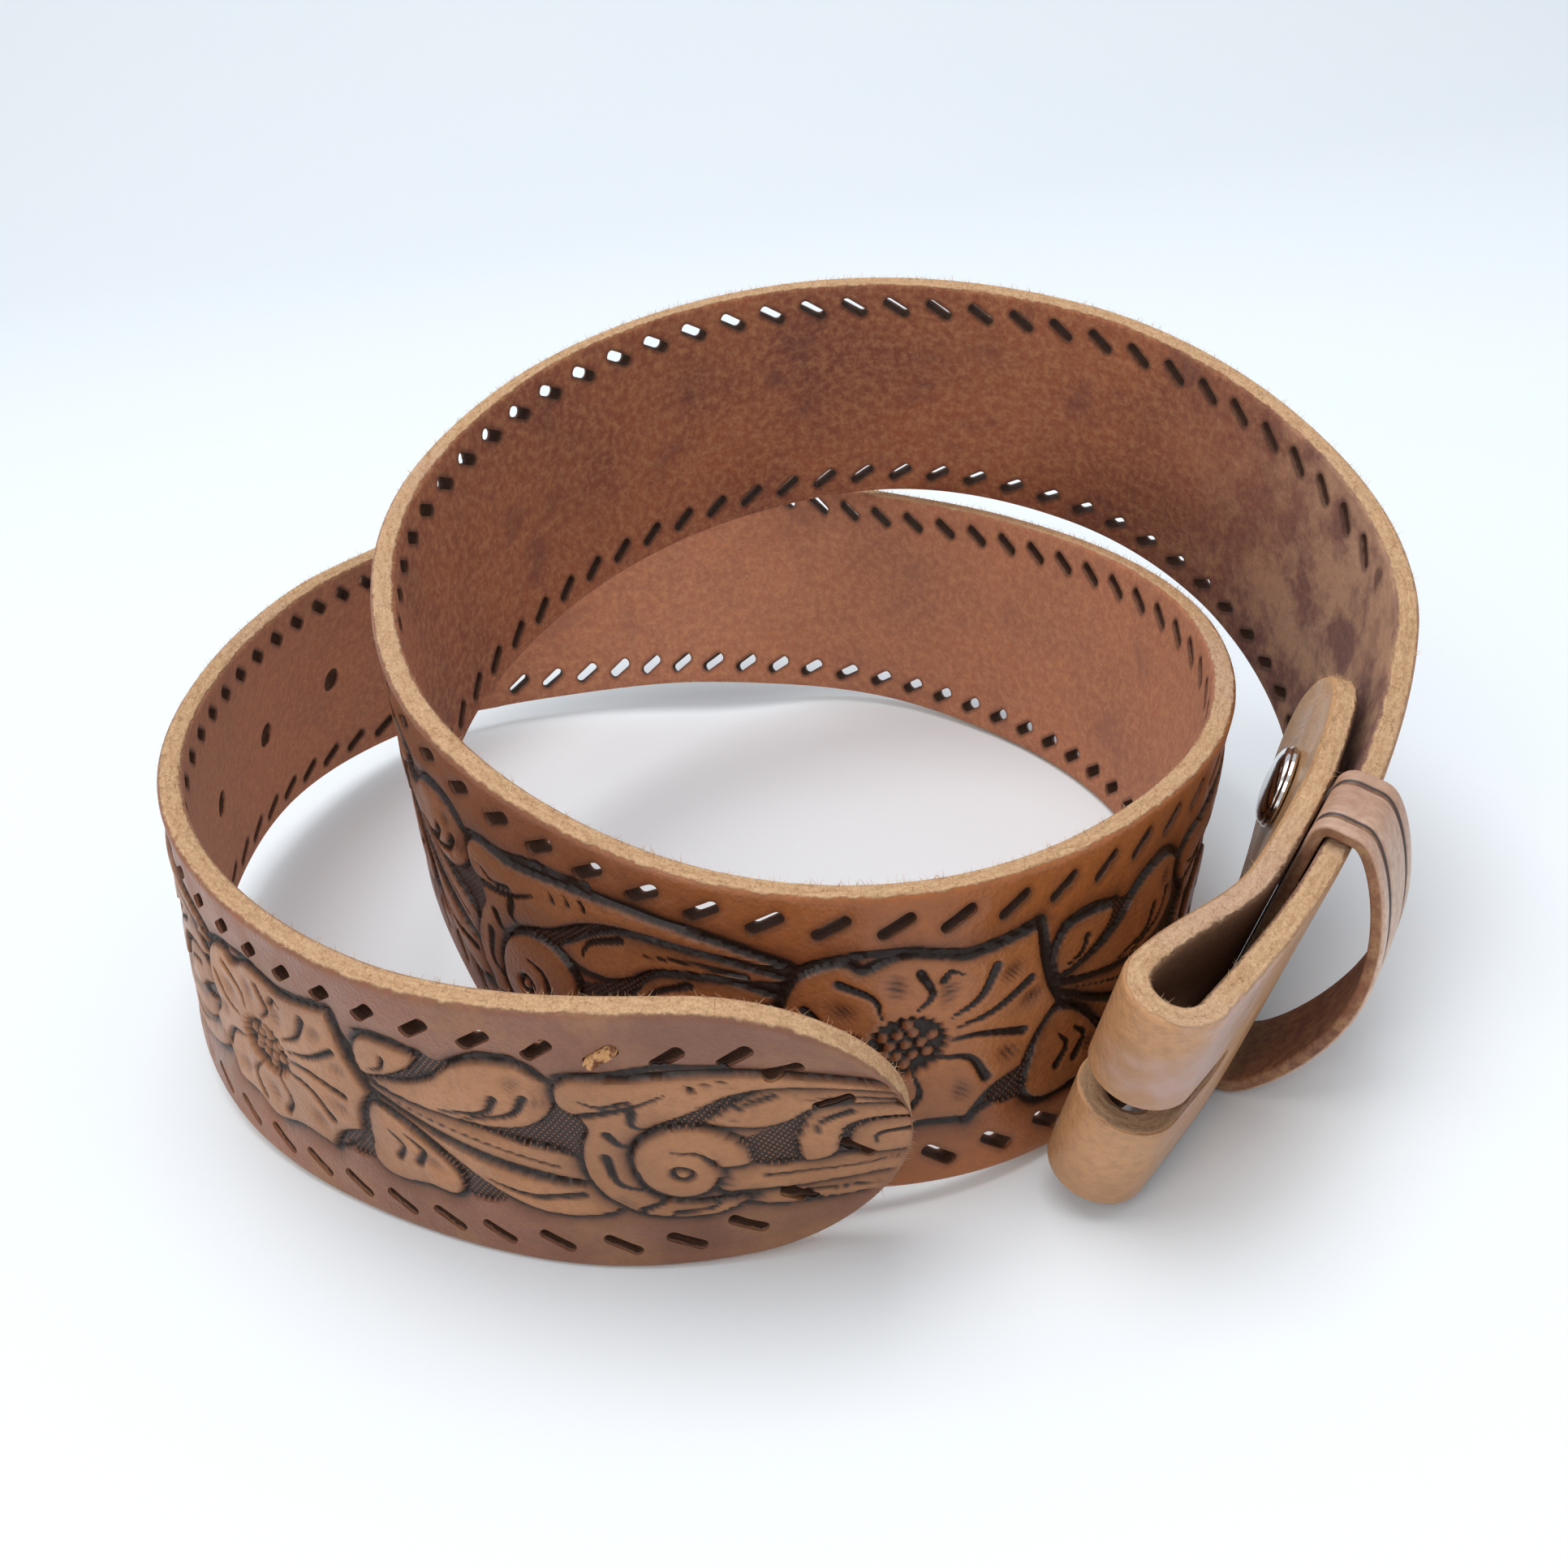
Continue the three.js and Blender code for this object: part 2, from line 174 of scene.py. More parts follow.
def table_value(column, place):
    """A smooth curve through one column of the lay-out, at places counted in rows."""
    values = LAY_OUT[:, column]
    last = len(values) - 1
    row = np.minimum(np.floor(place).astype(int), last - 1)
    part = place - row
    here = values[row]
    after = values[row + 1]
    before = np.where(row > 0, values[np.maximum(row - 1, 0)], 2 * here - after)
    beyond = np.where(row + 2 <= last, values[np.minimum(row + 2, last)], 2 * after - here)
    bend = 2 * before - 5 * here + 4 * after - beyond
    twist = 3 * (here - after) + beyond - before
    return here + 0.5 * part * (after - before + part * (bend + part * twist))


def body_half_width(along):
    """Half the strap's width, without its rounded ends."""
    taper_end = RUN_LENGTH - BUCKLE_END + TAPER_LENGTH
    share = np.clip((taper_end - along) / TAPER_LENGTH, 0, 1)
    return (BUCKLE_WIDTH + (BELT_WIDTH - BUCKLE_WIDTH) * share) / 2


def rounded_end(distance, length, power):
    """Width of a rounded end, as a share of the full width."""
    inside = np.clip(1 - distance / length, 0, 1)
    return np.sqrt(1 - inside ** power)


def half_width(along):
    """Half the strap's width at places along the flat strap, ends included."""
    half = body_half_width(along) * rounded_end(along - TIP_START, TONGUE_LENGTH, TONGUE_POWER)
    return half * rounded_end(FLAT_LENGTH - along, FLAP_NOSE, 2)


class Path:
    """The path that the strap's middle takes through the coil."""

    def __init__(self, steps=2000):
        self.along = np.linspace(0, RUN_LENGTH, steps + 1)
        place = self.along / RUN_LENGTH * (len(LAY_OUT) - 1)
        self.heading = np.radians(table_value(0, place))
        self.lean = np.radians(table_value(2, place))
        low_edge = np.maximum(table_value(1, place), 0) * BELT_WIDTH
        upright = body_half_width(self.along) * np.cos(self.lean)
        self.height = low_edge + upright + LEATHER / 2 * np.abs(np.sin(self.lean))
        slope = np.gradient(self.height, self.along)
        self.climb = np.arcsin(np.clip(slope, -0.9, 0.9))
        level = RUN_LENGTH / steps * (np.cos(self.climb[1:]) + np.cos(self.climb[:-1])) / 2
        mean = (self.heading[1:] + self.heading[:-1]) / 2
        self.x = np.concatenate([[0], np.cumsum(level * np.cos(mean))])
        self.y = np.concatenate([[0], np.cumsum(level * np.sin(mean))])
        self.x += FOLD_PLACE[0] - self.x[-1]
        self.y += FOLD_PLACE[1] - self.y[-1]

    def frames(self, along):
        """Middle, forward, up and out at places along the run."""
        def read(values):
            return np.interp(along, self.along, values)
        heading = read(self.heading)
        climb = read(self.climb)
        lean = read(self.lean)[..., None]
        forward = np.stack([np.cos(climb) * np.cos(heading), np.cos(climb) * np.sin(heading),
                            np.sin(climb)], -1)
        side = np.stack([-np.sin(heading), np.cos(heading), 0 * heading], -1)
        plumb = np.cross(forward, side)
        up = plumb * np.cos(lean) + side * np.sin(lean)
        out = side * np.cos(lean) - plumb * np.sin(lean)
        middle = np.stack([read(self.x), read(self.y), read(self.height)], -1)
        return middle, forward, up, out

    def roll_up(self, along, across, out):
        """Takes flat places to their places in the coil."""
        back = along - RUN_LENGTH - FOLD_ARC
        on_flap = back >= 0
        middle, _, up, outward = self.frames(np.where(on_flap, RUN_LENGTH - back, along))
        run = middle + up * across[:, None] + outward * out[:, None]
        ease = np.clip(back / FOLD_EASE, 0, 1)
        ease = ease * ease * (3 - 2 * ease)
        gap = 2 * FOLD_RADIUS + (LEATHER + FLAP_GAP - 2 * FOLD_RADIUS) * ease
        flap = middle + up * across[:, None] - outward * (gap + out)[:, None]
        end = [part[0] for part in self.frames(np.array([RUN_LENGTH]))]
        angle = np.clip((along - RUN_LENGTH) / FOLD_RADIUS, 0, math.pi)[:, None]
        ray = end[3] * np.cos(angle) + end[1] * np.sin(angle)
        fold = end[0] - end[3] * FOLD_RADIUS + ray * (FOLD_RADIUS + out)[:, None]
        fold = fold + end[2] * across[:, None]
        on_fold = (along > RUN_LENGTH) & ~on_flap
        return np.where(on_flap[:, None], flap, np.where(on_fold[:, None], fold, run))


path = Path()


def placed(places):
    """Coil places in metres."""
    return places * MM


# The carving, drawn flat over one repeat: x towards the tip from a flower's middle, y up

REPEAT = 112
TILE_LEFT = -20
TILE_HIGH = 17.5
TILE_STEP = 0.15
FLOWER_ALONG = 94.5
# How the last repeat is stretched to follow the tongue, as sums of powers
STRETCH_ALONG = (2.19, -3.99, -0.22, 4.65, 16.72, 1.19, -9.11, -18.85, -1.87)
STRETCH_ACROSS = (-0.21, -1.63, 0.73, -18.14, 12.66, -4.36, 24.44, -5.4, 4.4)

MATTED = [
    [(31, 11.3), (37, 10.3), (32, 8), (27, 5.5), (22, 4.2), (25, 6), (29.5, 8.7)],
    [(44, 1.5), (48.5, 6), (51.5, 5.5), (52, 0), (49.5, -3.2), (45, -2.5), (40, -1), (36, 0.3)],
    [(21, -3), (17, -6), (12, -11), (18, -12), (21, -8)],
    [(30, -6), (36, -10), (37.5, -13.5), (32.5, -13.8), (31, -9)],
    [(61, 2.6), (66, 5.6), (71, 9), (73.5, 10.8), (70.5, 6.5), (67, 3.2), (64, 3)],
    [(70.2, -0.5), (70.2, -5.5), (76.5, -5.8), (77, -2), (79, 3), (82.5, 7.5), (79.5, 6.2),
     (75, 2.2)],
    [(84, 3.5), (90, 5.5), (99, 4), (96, -1), (90, -3.4), (83, -4)],
]

# Deep lines beside the motifs: places and width
GROOVES = [
    ([(18.4, 13.8), (19.0, 9), (20.0, 4.5), (22.6, 0)], 2.0),
    ([(22, 12), (27, 12.6), (31.8, 11.6)], 0.9),
    ([(35.5, 10.6), (40, 13.2), (45, 13.4), (49.4, 10.2)], 1.3),
    ([(49.6, 11.4), (56.3, 12.4), (63.4, 14.6), (72, 15.6)], 1.3),
    ([(-16, 5), (-13.5, 11), (-8, 13.2), (-1, 13.8), (8, 12.6), (17.5, 14)], 1.0),
    ([(9, -13.2), (14, -10.5), (17.2, -7), (21.8, -1)], 1.0),
]

LEAVES = {
    "lower_arm": [(66, -12.3), (74, -11.8), (82, -10.6), (90, -8), (99, -4), (97, -9),
                  (90, -12.4), (80, -14.6), (71, -14.8)],
    "lower_stem": [(65, -6), (71, -5.9), (76.5, -5.7), (82, -4.8), (90, -3.6), (99, -1),
                   (93, -6.6), (82, -9.8), (72, -11.2), (65.5, -11)],
    "third_wing": [(83.5, -3.8), (83.6, 0), (87, 3.4), (93, 4.8), (100, 3), (94, 0.4), (90, -3)],
    "second_wing": [(76.4, -5), (76.8, -1.5), (79, 3), (82, 7), (88, 8.6), (98, 6.5), (90, 5.6),
                    (85, 3.6), (82.6, 0), (81.2, -3), (79.5, -4.6)],
    "first_wing": [(67, 3.2), (70.5, 6.8), (75, 10), (80, 11.6), (88, 11.6), (98, 9.5), (89, 9),
                   (82, 7.6), (78, 4.6), (74, 3)],
    "first_stem": [(21.5, 2.9), (32, 1.3), (42, -1.2), (48.5, -3), (50.5, -8), (44, -7.5),
                   (36, -4.8), (27, -0.6)],
    "second_stem": [(22, 1), (30, -3), (38, -6.5), (46, -8.7), (51, -9.5), (53, -13.6),
                    (48, -15), (42, -14.2), (36, -10.5), (28.5, -4)],
    "lobe_leaf": [(21.5, 4), (28, 5.2), (33, 7.6), (36, 10.5), (40, 12.4), (45, 12.6),
                  (48.5, 10), (49.3, 8), (48, 4.6), (45, 2), (40, 0.9), (32, 1.7), (24, 3.2)],
    "small_leaf": [(21, 5), (20.6, 8), (22.6, 11.2), (27, 11.7), (31.5, 11), (31.5, 11),
                   (30, 8.6), (26, 6), (22, 4.7)],
    "lower_lobe": [(21.5, -0.8), (24.8, -1.8), (28, -4.5), (31.4, -9), (31.8, -12), (30, -14),
                   (26, -13.3), (22, -13.8), (19, -13.2), (17.4, -11), (18.2, -7), (19.2, -3)],
    "scroll": [(52, 11.4), (49.6, 9.5), (49.6, 6.5), (51.2, 4.9), (52.5, 2.5), (51, -1),
               (50, -6), (51.5, -11), (55.2, -14.4), (61, -15.8), (65.5, -15.2), (68.5, -12.8),
               (68.5, -12.8), (66, -13), (62, -13.2), (58, -12.1), (55.8, -9.3), (55.4, -5),
               (57, -1), (60, 2.3), (66, 6), (72, 10), (79, 12), (90, 12.2), (98, 11.4),
               (90, 13.6), (82, 14.4), (74, 14.4), (66, 13.4), (58, 11.8)],
    "volute": [(56.2, -5), (57, -9), (60, -11.3), (63.5, -10.8), (65.5, -8), (66, -5.8),
               (66, -5.8), (70.2, -4.8), (70.4, -1), (68.5, 1.8), (65, 3), (61, 2), (57.5, -1)],
    "flower": [(-15, 5), (-12.8, 10.4), (-8, 12.4), (-5.5, 11.2), (-1, 13), (4, 12.4), (7, 11.6),
               (12, 12.2), (17.5, 13.2), (17.5, 13.2), (18.2, 8), (19.4, 4), (21.2, 1),
               (21.2, 1), (18.4, -2.5), (16.6, -7), (16.6, -7), (12.2, -9), (9, -12.6),
               (9, -12.6), (3, -12), (-3, -13.8), (-7, -12), (-12, -12), (-13, -8), (-16, -4),
               (-13.6, -0.5)],
}

# Cuts as three places and the width at the blunt end. Each starts fine and swells.
CUTS = {
    "first_wing": [((71, 4.5), (72.5, 7.4), (77, 9.8), 0.8), ((80, 9), (86, 10), (93, 9.8), 0.5)],
    "second_wing": [((79.5, 0), (81.5, 4), (86, 6.6), 0.8)],
    "third_wing": [((86, -2), (87.5, 1), (92, 2.6), 0.7)],
    "lower_stem": [((90, -5), (80, -7.4), (71, -8), 0.5), ((67.2, -7.4), (66, -7.2), (65, -7), 0.3),
                   ((68.2, -8.6), (66.4, -8.5), (65, -8.4), 0.3),
                   ((67.6, -9.9), (66.2, -9.9), (65, -9.8), 0.3)],
    "lower_arm": [((92, -8.4), (84, -12), (75, -12.8), 0.6)],
    "first_stem": [((24, 1.6), (35, -1.6), (47, -5.4), 0.35)],
    "second_stem": [((36, -9.2), (42, -11.4), (48.5, -10.8), 1.1),
                    ((27, -1), (37, -5.2), (49, -8.9), 0.9)],
    "lobe_leaf": [((33, 2.2), (39.4, 3.4), (41.3, 6.3), 1.1),
                  ((36, 1.6), (43, 3.8), (45.2, 7), 1.1)],
    "small_leaf": [((22.5, 5.8), (25, 6.8), (26, 8.8), 0.8)],
    "lower_lobe": [((22.3, -4.4), (24, -6.8), (22.4, -9.4), 1.0),
                   ((25, -4.4), (27.2, -6.6), (25.6, -9.4), 1.1)],
    "scroll": [((63.5, 9.9), (58, 6.6), (51.4, 4.6), 1.0), ((52, 7.8), (55, 6.7), (58.6, 8), 0.7),
               ((60.6, 1.8), (58.2, 3.2), (58.6, 6), 1.2), ((59, -1), (56, -1), (54.6, 1.4), 1.2),
               ((56.4, -10.2), (53.4, -8), (53.2, -3), 1.2),
               ((60.2, -12), (58, -12.6), (55.6, -13.8), 1.0),
               ((65.4, -12.9), (63.5, -14.3), (59.6, -14.8), 0.9),
               ((66, 12), (66.6, 11.6), (66.8, 10.8), 0.5),
               ((68.5, 12.7), (69.1, 12.3), (69.3, 11.5), 0.5),
               ((71, 13.2), (71.6, 12.8), (71.8, 12), 0.5)],
    "volute": [((61.6, -1.8), (64.6, -2.4), (66, -5.4), 1.0)],
    "flower": [((5.4, 3.6), (9, 5.6), (11.4, 9.6), 1.1), ((6.2, 1.9), (11, 3.1), (16.4, 6.2), 1.0),
               ((5.2, 0.2), (10, 0), (16, -1.4), 1.0), ((4, -2.2), (8.6, -3.2), (11.4, -7), 1.1),
               ((0.8, 5.2), (2.8, 7.4), (1.4, 10.6), 1.0),
               ((-3.4, 4.6), (-4.4, 7.6), (-8.4, 9.8), 0.9),
               ((-5.6, 2), (-9.4, 3), (-12.4, 6), 0.9),
               ((-5.6, -1.4), (-9.6, -2.6), (-12.6, -6.4), 1.0),
               ((-2.6, -4.2), (-5.4, -7.2), (-4.8, -11), 1.0),
               ((1.4, -4.2), (2.6, -7.8), (0.4, -11), 0.9),
               ((6.8, 9.6), (5.2, 10.2), (4.2, 9), 0.8)],
}

# Soft dark ovals with fine lines, pressed into petals: place and turn in degrees
SHADES = {
    "flower": [((13.6, 8.2), 40), ((16.6, 3.4), 20), ((14.2, -4), -20), ((8.2, -8.2), -60),
               ((5, 7.4), 80), ((-8, 5.8), 140), ((-11.4, 0.4), 180), ((-8.2, -7.6), 220),
               ((-1.4, -8.6), 265), ((-1.6, 9), 100)],
    "lobe_leaf": [((44.2, 9.4), 60), ((47, 6.6), 10)],
    "scroll": [((53.6, -12), 130)],
    "lower_lobe": [((28.4, -8.6), -60)],
}

SEED_RING = [(0, 0), (1.9, 0.2), (0.8, 1.7), (-1.1, 1.5), (-2, -0.1), (-0.9, -1.7), (1.1, -1.6),
             (3.3, 1.1), (-3, 1.3), (2.9, -1.3), (-2.7, -1.5), (0, 3), (0.2, -3)]
VOLUTE_EYE = (61.6, -6.4)


def smooth_path(points, closed, steps=7):
    """A smooth curve through points. A point given twice makes a corner."""
    points = np.array(points, float)
    count = len(points)
    if closed:
        known = points[np.arange(-1, count + 2) % count]
    else:
        known = np.concatenate([[2 * points[0] - points[1]], points, [2 * points[-1] - points[-2]]])
    part = (np.arange(steps) / steps)[:, None]
    curve = []
    for before, here, after, beyond in zip(known, known[1:], known[2:], known[3:]):
        bend = 2 * before - 5 * here + 4 * after - beyond
        twist = 3 * (here - after) + beyond - before
        curve.append(here + 0.5 * part * (after - before + part * (bend + part * twist)))
    if not closed:
        curve.append(points[-1:])
    return np.concatenate(curve)


def nearest(curve, x, y, closed):
    """Distance from each place to a curve, and how far along the curve the nearest place is."""
    starts = curve if closed else curve[:-1]
    ends = np.roll(curve, -1, 0) if closed else curve[1:]
    best = np.full(x.shape, 1e9)
    where = np.zeros(x.shape)
    for i, (a, b) in enumerate(zip(starts, ends)):
        way = b - a
        length = max(way @ way, 1e-12)
        part = np.clip(((x - a[0]) * way[0] + (y - a[1]) * way[1]) / length, 0, 1)
        gap = (x - a[0] - part * way[0]) ** 2 + (y - a[1] - part * way[1]) ** 2
        closer = gap < best
        best = np.where(closer, gap, best)
        where = np.where(closer, (i + part) / len(starts), where)
    return np.sqrt(best), where


def inside(curve, x, y):
    """Whether each place lies inside a closed curve."""
    hit = np.zeros(x.shape, bool)
    for a, b in zip(curve, np.roll(curve, -1, 0)):
        if a[1] == b[1]:
            continue
        crosses = (a[1] > y) != (b[1] > y)
        hit ^= crosses & (x < a[0] + (y - a[1]) / (b[1] - a[1]) * (b[0] - a[0]))
    return hit


class Carving:
    """One repeat of the carved band: relief, stain, matting and raised motifs, as fields."""

    def __init__(self):
        self.columns = round(REPEAT / TILE_STEP)
        self.rows = round(2 * TILE_HIGH / TILE_STEP) + 1
        shape = (self.rows, self.columns)
        self.relief = np.zeros(shape)
        self.stain = np.zeros(shape)
        self.matting = np.zeros(shape)
        self.raised = np.zeros(shape)
        for outline in MATTED:
            self.each_repeat(self.mat, outline)
        for places, width in GROOVES:
            self.each_repeat(self.groove, places, width)
        for name, outline in LEAVES.items():
            self.each_repeat(self.leaf, outline)
            for *places, width in CUTS.get(name, []):
                self.each_repeat(self.cut, places, width)
            for place, turn in SHADES.get(name, []):
                self.each_repeat(self.shade, [place], turn)
        self.each_repeat(self.eye, [VOLUTE_EYE])
        self.each_repeat(self.seeds, [(0, 0)])

    def each_repeat(self, draw, points, *how):
        """Draws a shape, and what of it reaches in from the repeats on both sides."""
        for copy in (-1, 0, 1):
            moved = np.array(points, float) + (copy * REPEAT, 0)
            if moved[:, 0].max() + 6 > TILE_LEFT and moved[:, 0].min() - 6 < TILE_LEFT + REPEAT:
                draw(moved, *how)

    def window(self, points, margin):
        """The part of the fields round some points, and its places."""
        low = points.min(0) - margin
        high = points.max(0) + margin
        left = max(int((low[0] - TILE_LEFT) / TILE_STEP), 0)
        right = min(int((high[0] - TILE_LEFT) / TILE_STEP) + 1, self.columns)
        bottom = max(int((low[1] + TILE_HIGH) / TILE_STEP), 0)
        top = min(int((high[1] + TILE_HIGH) / TILE_STEP) + 1, self.rows)
        x = TILE_LEFT + np.arange(left, max(right, left)) * TILE_STEP
        y = -TILE_HIGH + np.arange(bottom, max(top, bottom)) * TILE_STEP
        grid_x, grid_y = np.meshgrid(x, y)
        return (slice(bottom, bottom + len(y)), slice(left, left + len(x))), grid_x, grid_y

    def mat(self, outline):
        """A matted field, sunk below the leaves."""
        curve = smooth_path(outline, True)
        part, x, y = self.window(curve, 0.5)
        within = inside(curve, x, y)
        self.relief[part] = np.where(within, -0.75, self.relief[part])
        self.stain[part] = np.where(within, 0.72, self.stain[part])
        self.matting[part] = np.where(within, 1, self.matting[part])

    def groove(self, places, width):
        """A deep dark line beside a motif."""
        curve = smooth_path(places, False)
        part, x, y = self.window(curve, 4)
        gap, where = nearest(curve, x, y, False)
        half = width / 2 * (0.55 + 0.45 * np.sin(math.pi * where))
        line = np.exp(-((gap / half) ** 4)) + 0.3 * np.exp(-gap / 1.3)
        self.relief[part] = np.minimum(self.relief[part], -0.8 * line)
        self.stain[part] = np.maximum(self.stain[part], np.minimum(line, 1))

    def leaf(self, outline):
        """A raised leaf with a bevel pressed down round it."""
        curve = smooth_path(outline, True)
        part, x, y = self.window(curve, 5)
        gap, _ = nearest(curve, x, y, True)
        within = inside(curve, x, y)
        pressed = -0.95 * np.exp(-gap / 1.5) - 0.1 * np.exp(-gap / 4)
        fade = np.exp(-((gap / 0.8) ** 2)) + 0.48 * np.exp(-gap / 1.3) + 0.3 * np.exp(-gap / 3)
        crown = 0.16 * (1 - np.exp(-gap / 1.4)) - 0.3 * np.exp(-gap / 0.22)
        self.relief[part] = np.where(within, crown, np.minimum(self.relief[part], pressed))
        rim = 0.5 * np.exp(-gap / 0.16) + 0.3 * np.exp(-gap / 1.0)
        self.stain[part] = np.where(within, rim,
                                    np.maximum(self.stain[part], np.minimum(fade, 1)))
        self.matting[part] = np.where(within, 0, self.matting[part])
        self.raised[part] = np.where(within, 1, self.raised[part])

    def cut(self, places, width):
        """A cut that starts fine and swells to a blunt end."""
        curve = smooth_path(places, False, 10)
        part, x, y = self.window(curve, 3)
        gap, where = nearest(curve, x, y, False)
        half = width * (0.12 + 0.5 * where ** 0.8)
        depth = np.clip(1.25 - gap / half, 0, 1)
        self.relief[part] -= 0.8 * depth * (0.35 + 0.65 * where)
        self.stain[part] = np.maximum(self.stain[part], np.clip(depth * 1.8, 0, 1))
        halo = 0.34 * np.exp(-gap / 0.55) * where
        self.stain[part] = np.maximum(self.stain[part], halo)

    def shade(self, place, turn):
        """A soft oval pressed with fine lines."""
        part, x, y = self.window(place, 4)
        angle = math.radians(turn)
        run = (x - place[0, 0]) * math.cos(angle) + (y - place[0, 1]) * math.sin(angle)
        side = (y - place[0, 1]) * math.cos(angle) - (x - place[0, 0]) * math.sin(angle)
        oval = np.exp(-((run / 1.9) ** 2) - (side / 1.35) ** 2)
        lines = 0.62 + 0.38 * np.cos(2 * math.pi * run / 0.62)
        self.relief[part] -= 0.35 * oval
        self.stain[part] = np.maximum(self.stain[part], 0.66 * oval * lines)

    def eye(self, place):
        """The ring stamped in the middle of a scroll."""
        part, x, y = self.window(place, 3)
        radius = np.hypot(x - place[0, 0], y - place[0, 1])
        ring = np.exp(-(((radius - 1.15) / 0.42) ** 2))
        self.relief[part] -= 0.7 * ring
        self.stain[part] = np.maximum(self.stain[part], np.clip(1.3 * ring, 0, 1))

    def seeds(self, place):
        """The dark oval of round seeds in a flower's middle."""
        part, x, y = self.window(place, 8)
        across = (x - place[0, 0]) / 4.9
        upward = (y - place[0, 1]) / 4.2
        oval = np.hypot(across, upward)
        angle = np.arctan2(upward, across)
        ragged = oval + 0.07 * np.cos(23 * angle)
        cup = np.clip((1.12 - ragged) * 4, 0, 1)
        self.relief[part] = self.relief[part] * (1 - cup) - 0.8 * cup
        self.stain[part] = np.maximum(self.stain[part], cup)
        for seed_x, seed_y in SEED_RING:
            gap = np.hypot(x - place[0, 0] - seed_x, y - place[0, 1] - seed_y)
            dome = np.sqrt(np.clip(1 - (gap / 0.86) ** 2, 0, 1))
            self.relief[part] = np.where(dome > 0, -0.75 + 0.62 * dome, self.relief[part])
            self.stain[part] = np.where(dome > 0.25, 0.5 - 0.3 * dome, self.stain[part])

    def read(self, field, along, across):
        """A field's values at flat places, blended between its cells."""
        near = np.clip((95 - along) / 95, 0, 1)
        side = across / 20
        terms = [near ** i * side ** j for i in (1, 2, 3) for j in (0, 1, 2)]
        along, across = (flat + sum(part * term for part, term in zip(stretch, terms))
                         for flat, stretch in ((along, STRETCH_ALONG), (across, STRETCH_ACROSS)))
        x = FLOWER_ALONG - along + 0.5 * np.sin(along / 31) + 0.35 * np.sin(across / 4 + along / 53)
        y = across + 0.3 * np.sin(along / 23)
        column = ((x - TILE_LEFT) / TILE_STEP) % self.columns
        row = np.clip((y + TILE_HIGH) / TILE_STEP, 0, self.rows - 1.001)
        left = np.floor(column).astype(int)
        low = np.floor(row).astype(int)
        part_x = column - left
        part_y = row - low
        left %= self.columns
        right = (left + 1) % self.columns
        lower = field[low, left] * (1 - part_x) + field[low, right] * part_x
        upper = field[low + 1, left] * (1 - part_x) + field[low + 1, right] * part_x
        return lower * (1 - part_y) + upper * part_y


def carved_share(along, across):
    """How much of the carving a place gets: all of it up to the plain buckle end."""
    end = np.clip((PLAIN_FROM - along) / 6, 0, 1)
    edge = np.clip((half_width(along) - np.abs(across) - 0.8) / 2, 0, 1)
    return end * edge


# Ways to make meshes

def mesh_from_arrays(name, places, corners, totals):
    """A mesh from places, the corners of all its faces in a row, and each face's corner count."""
    mesh = bpy.data.meshes.new(name)
    mesh.vertices.add(len(places))
    mesh.vertices.foreach_set("co", np.asarray(places, np.float32).ravel())
    mesh.loops.add(len(corners))
    mesh.loops.foreach_set("vertex_index", np.asarray(corners, np.int32))
    mesh.polygons.add(len(totals))
    starts = np.concatenate([[0], np.cumsum(totals)[:-1]]).astype(np.int32)
    mesh.polygons.foreach_set("loop_start", starts)
    mesh.update(calc_edges=True)
    return mesh


def mesh_arrays(mesh):
    """A mesh's places, face corners and corner counts."""
    places = np.empty(len(mesh.vertices) * 3, np.float32)
    mesh.vertices.foreach_get("co", places)
    corners = np.empty(len(mesh.loops), np.int32)
    mesh.loops.foreach_get("vertex_index", corners)
    totals = np.empty(len(mesh.polygons), np.int32)
    mesh.polygons.foreach_get("loop_total", totals)
    return places.reshape(-1, 3), corners, totals


def ring_mesh(name, rings, closed_row=False):
    """A closed skin over equal rings of points, with flat ends or run round a loop."""
    count, size = rings.shape[:2]
    first = np.arange(count if closed_row else count - 1)[:, None] * size
    around = np.arange(size)[None, :]
    after = (first + size) % (count * size)
    step = (around + 1) % size
    quads = np.stack([first + around, first + step, after + step, after + around], -1)
    corners = quads.reshape(-1)
    totals = [4] * (corners.size // 4)
    if not closed_row:
        last = (count - 1) * size
        corners = np.concatenate([corners, np.arange(size)[::-1], last + np.arange(size)])
        totals += [size, size]
    return mesh_from_arrays(name, rings.reshape(-1, 3), corners, np.array(totals))


def linked(name, mesh):
    """A new object for a mesh, in the scene."""
    piece = bpy.data.objects.new(name, mesh)
    bpy.context.scene.collection.objects.link(piece)
    return piece


def plain_mesh(piece):
    """The object's evaluated shape as a plain mesh."""
    bpy.context.view_layer.update()
    evaluated = piece.evaluated_get(bpy.context.evaluated_depsgraph_get())
    return bpy.data.meshes.new_from_object(evaluated)


def add_values(mesh, name, values):
    """A named value for each point of a mesh."""
    kind = "FLOAT" if values.ndim == 1 else "FLOAT_VECTOR"
    layer = mesh.attributes.new(name, kind, "POINT")
    key = "value" if values.ndim == 1 else "vector"
    layer.data.foreach_set(key, np.asarray(values, np.float32).ravel())


def smooth_with_creases(mesh, degrees):
    """Smooth shading with creases where faces meet at more than an angle."""
    mesh.shade_smooth()
    mesh.set_sharp_from_angle(angle=math.radians(degrees))


def finish_piece(piece, material, node):
    """Puts a made piece on the belt in place of the frame's node."""
    piece.data.materials.clear()
    piece.data.materials.append(material)
    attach(piece, "root")
    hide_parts(node)
    return piece


# Node trees

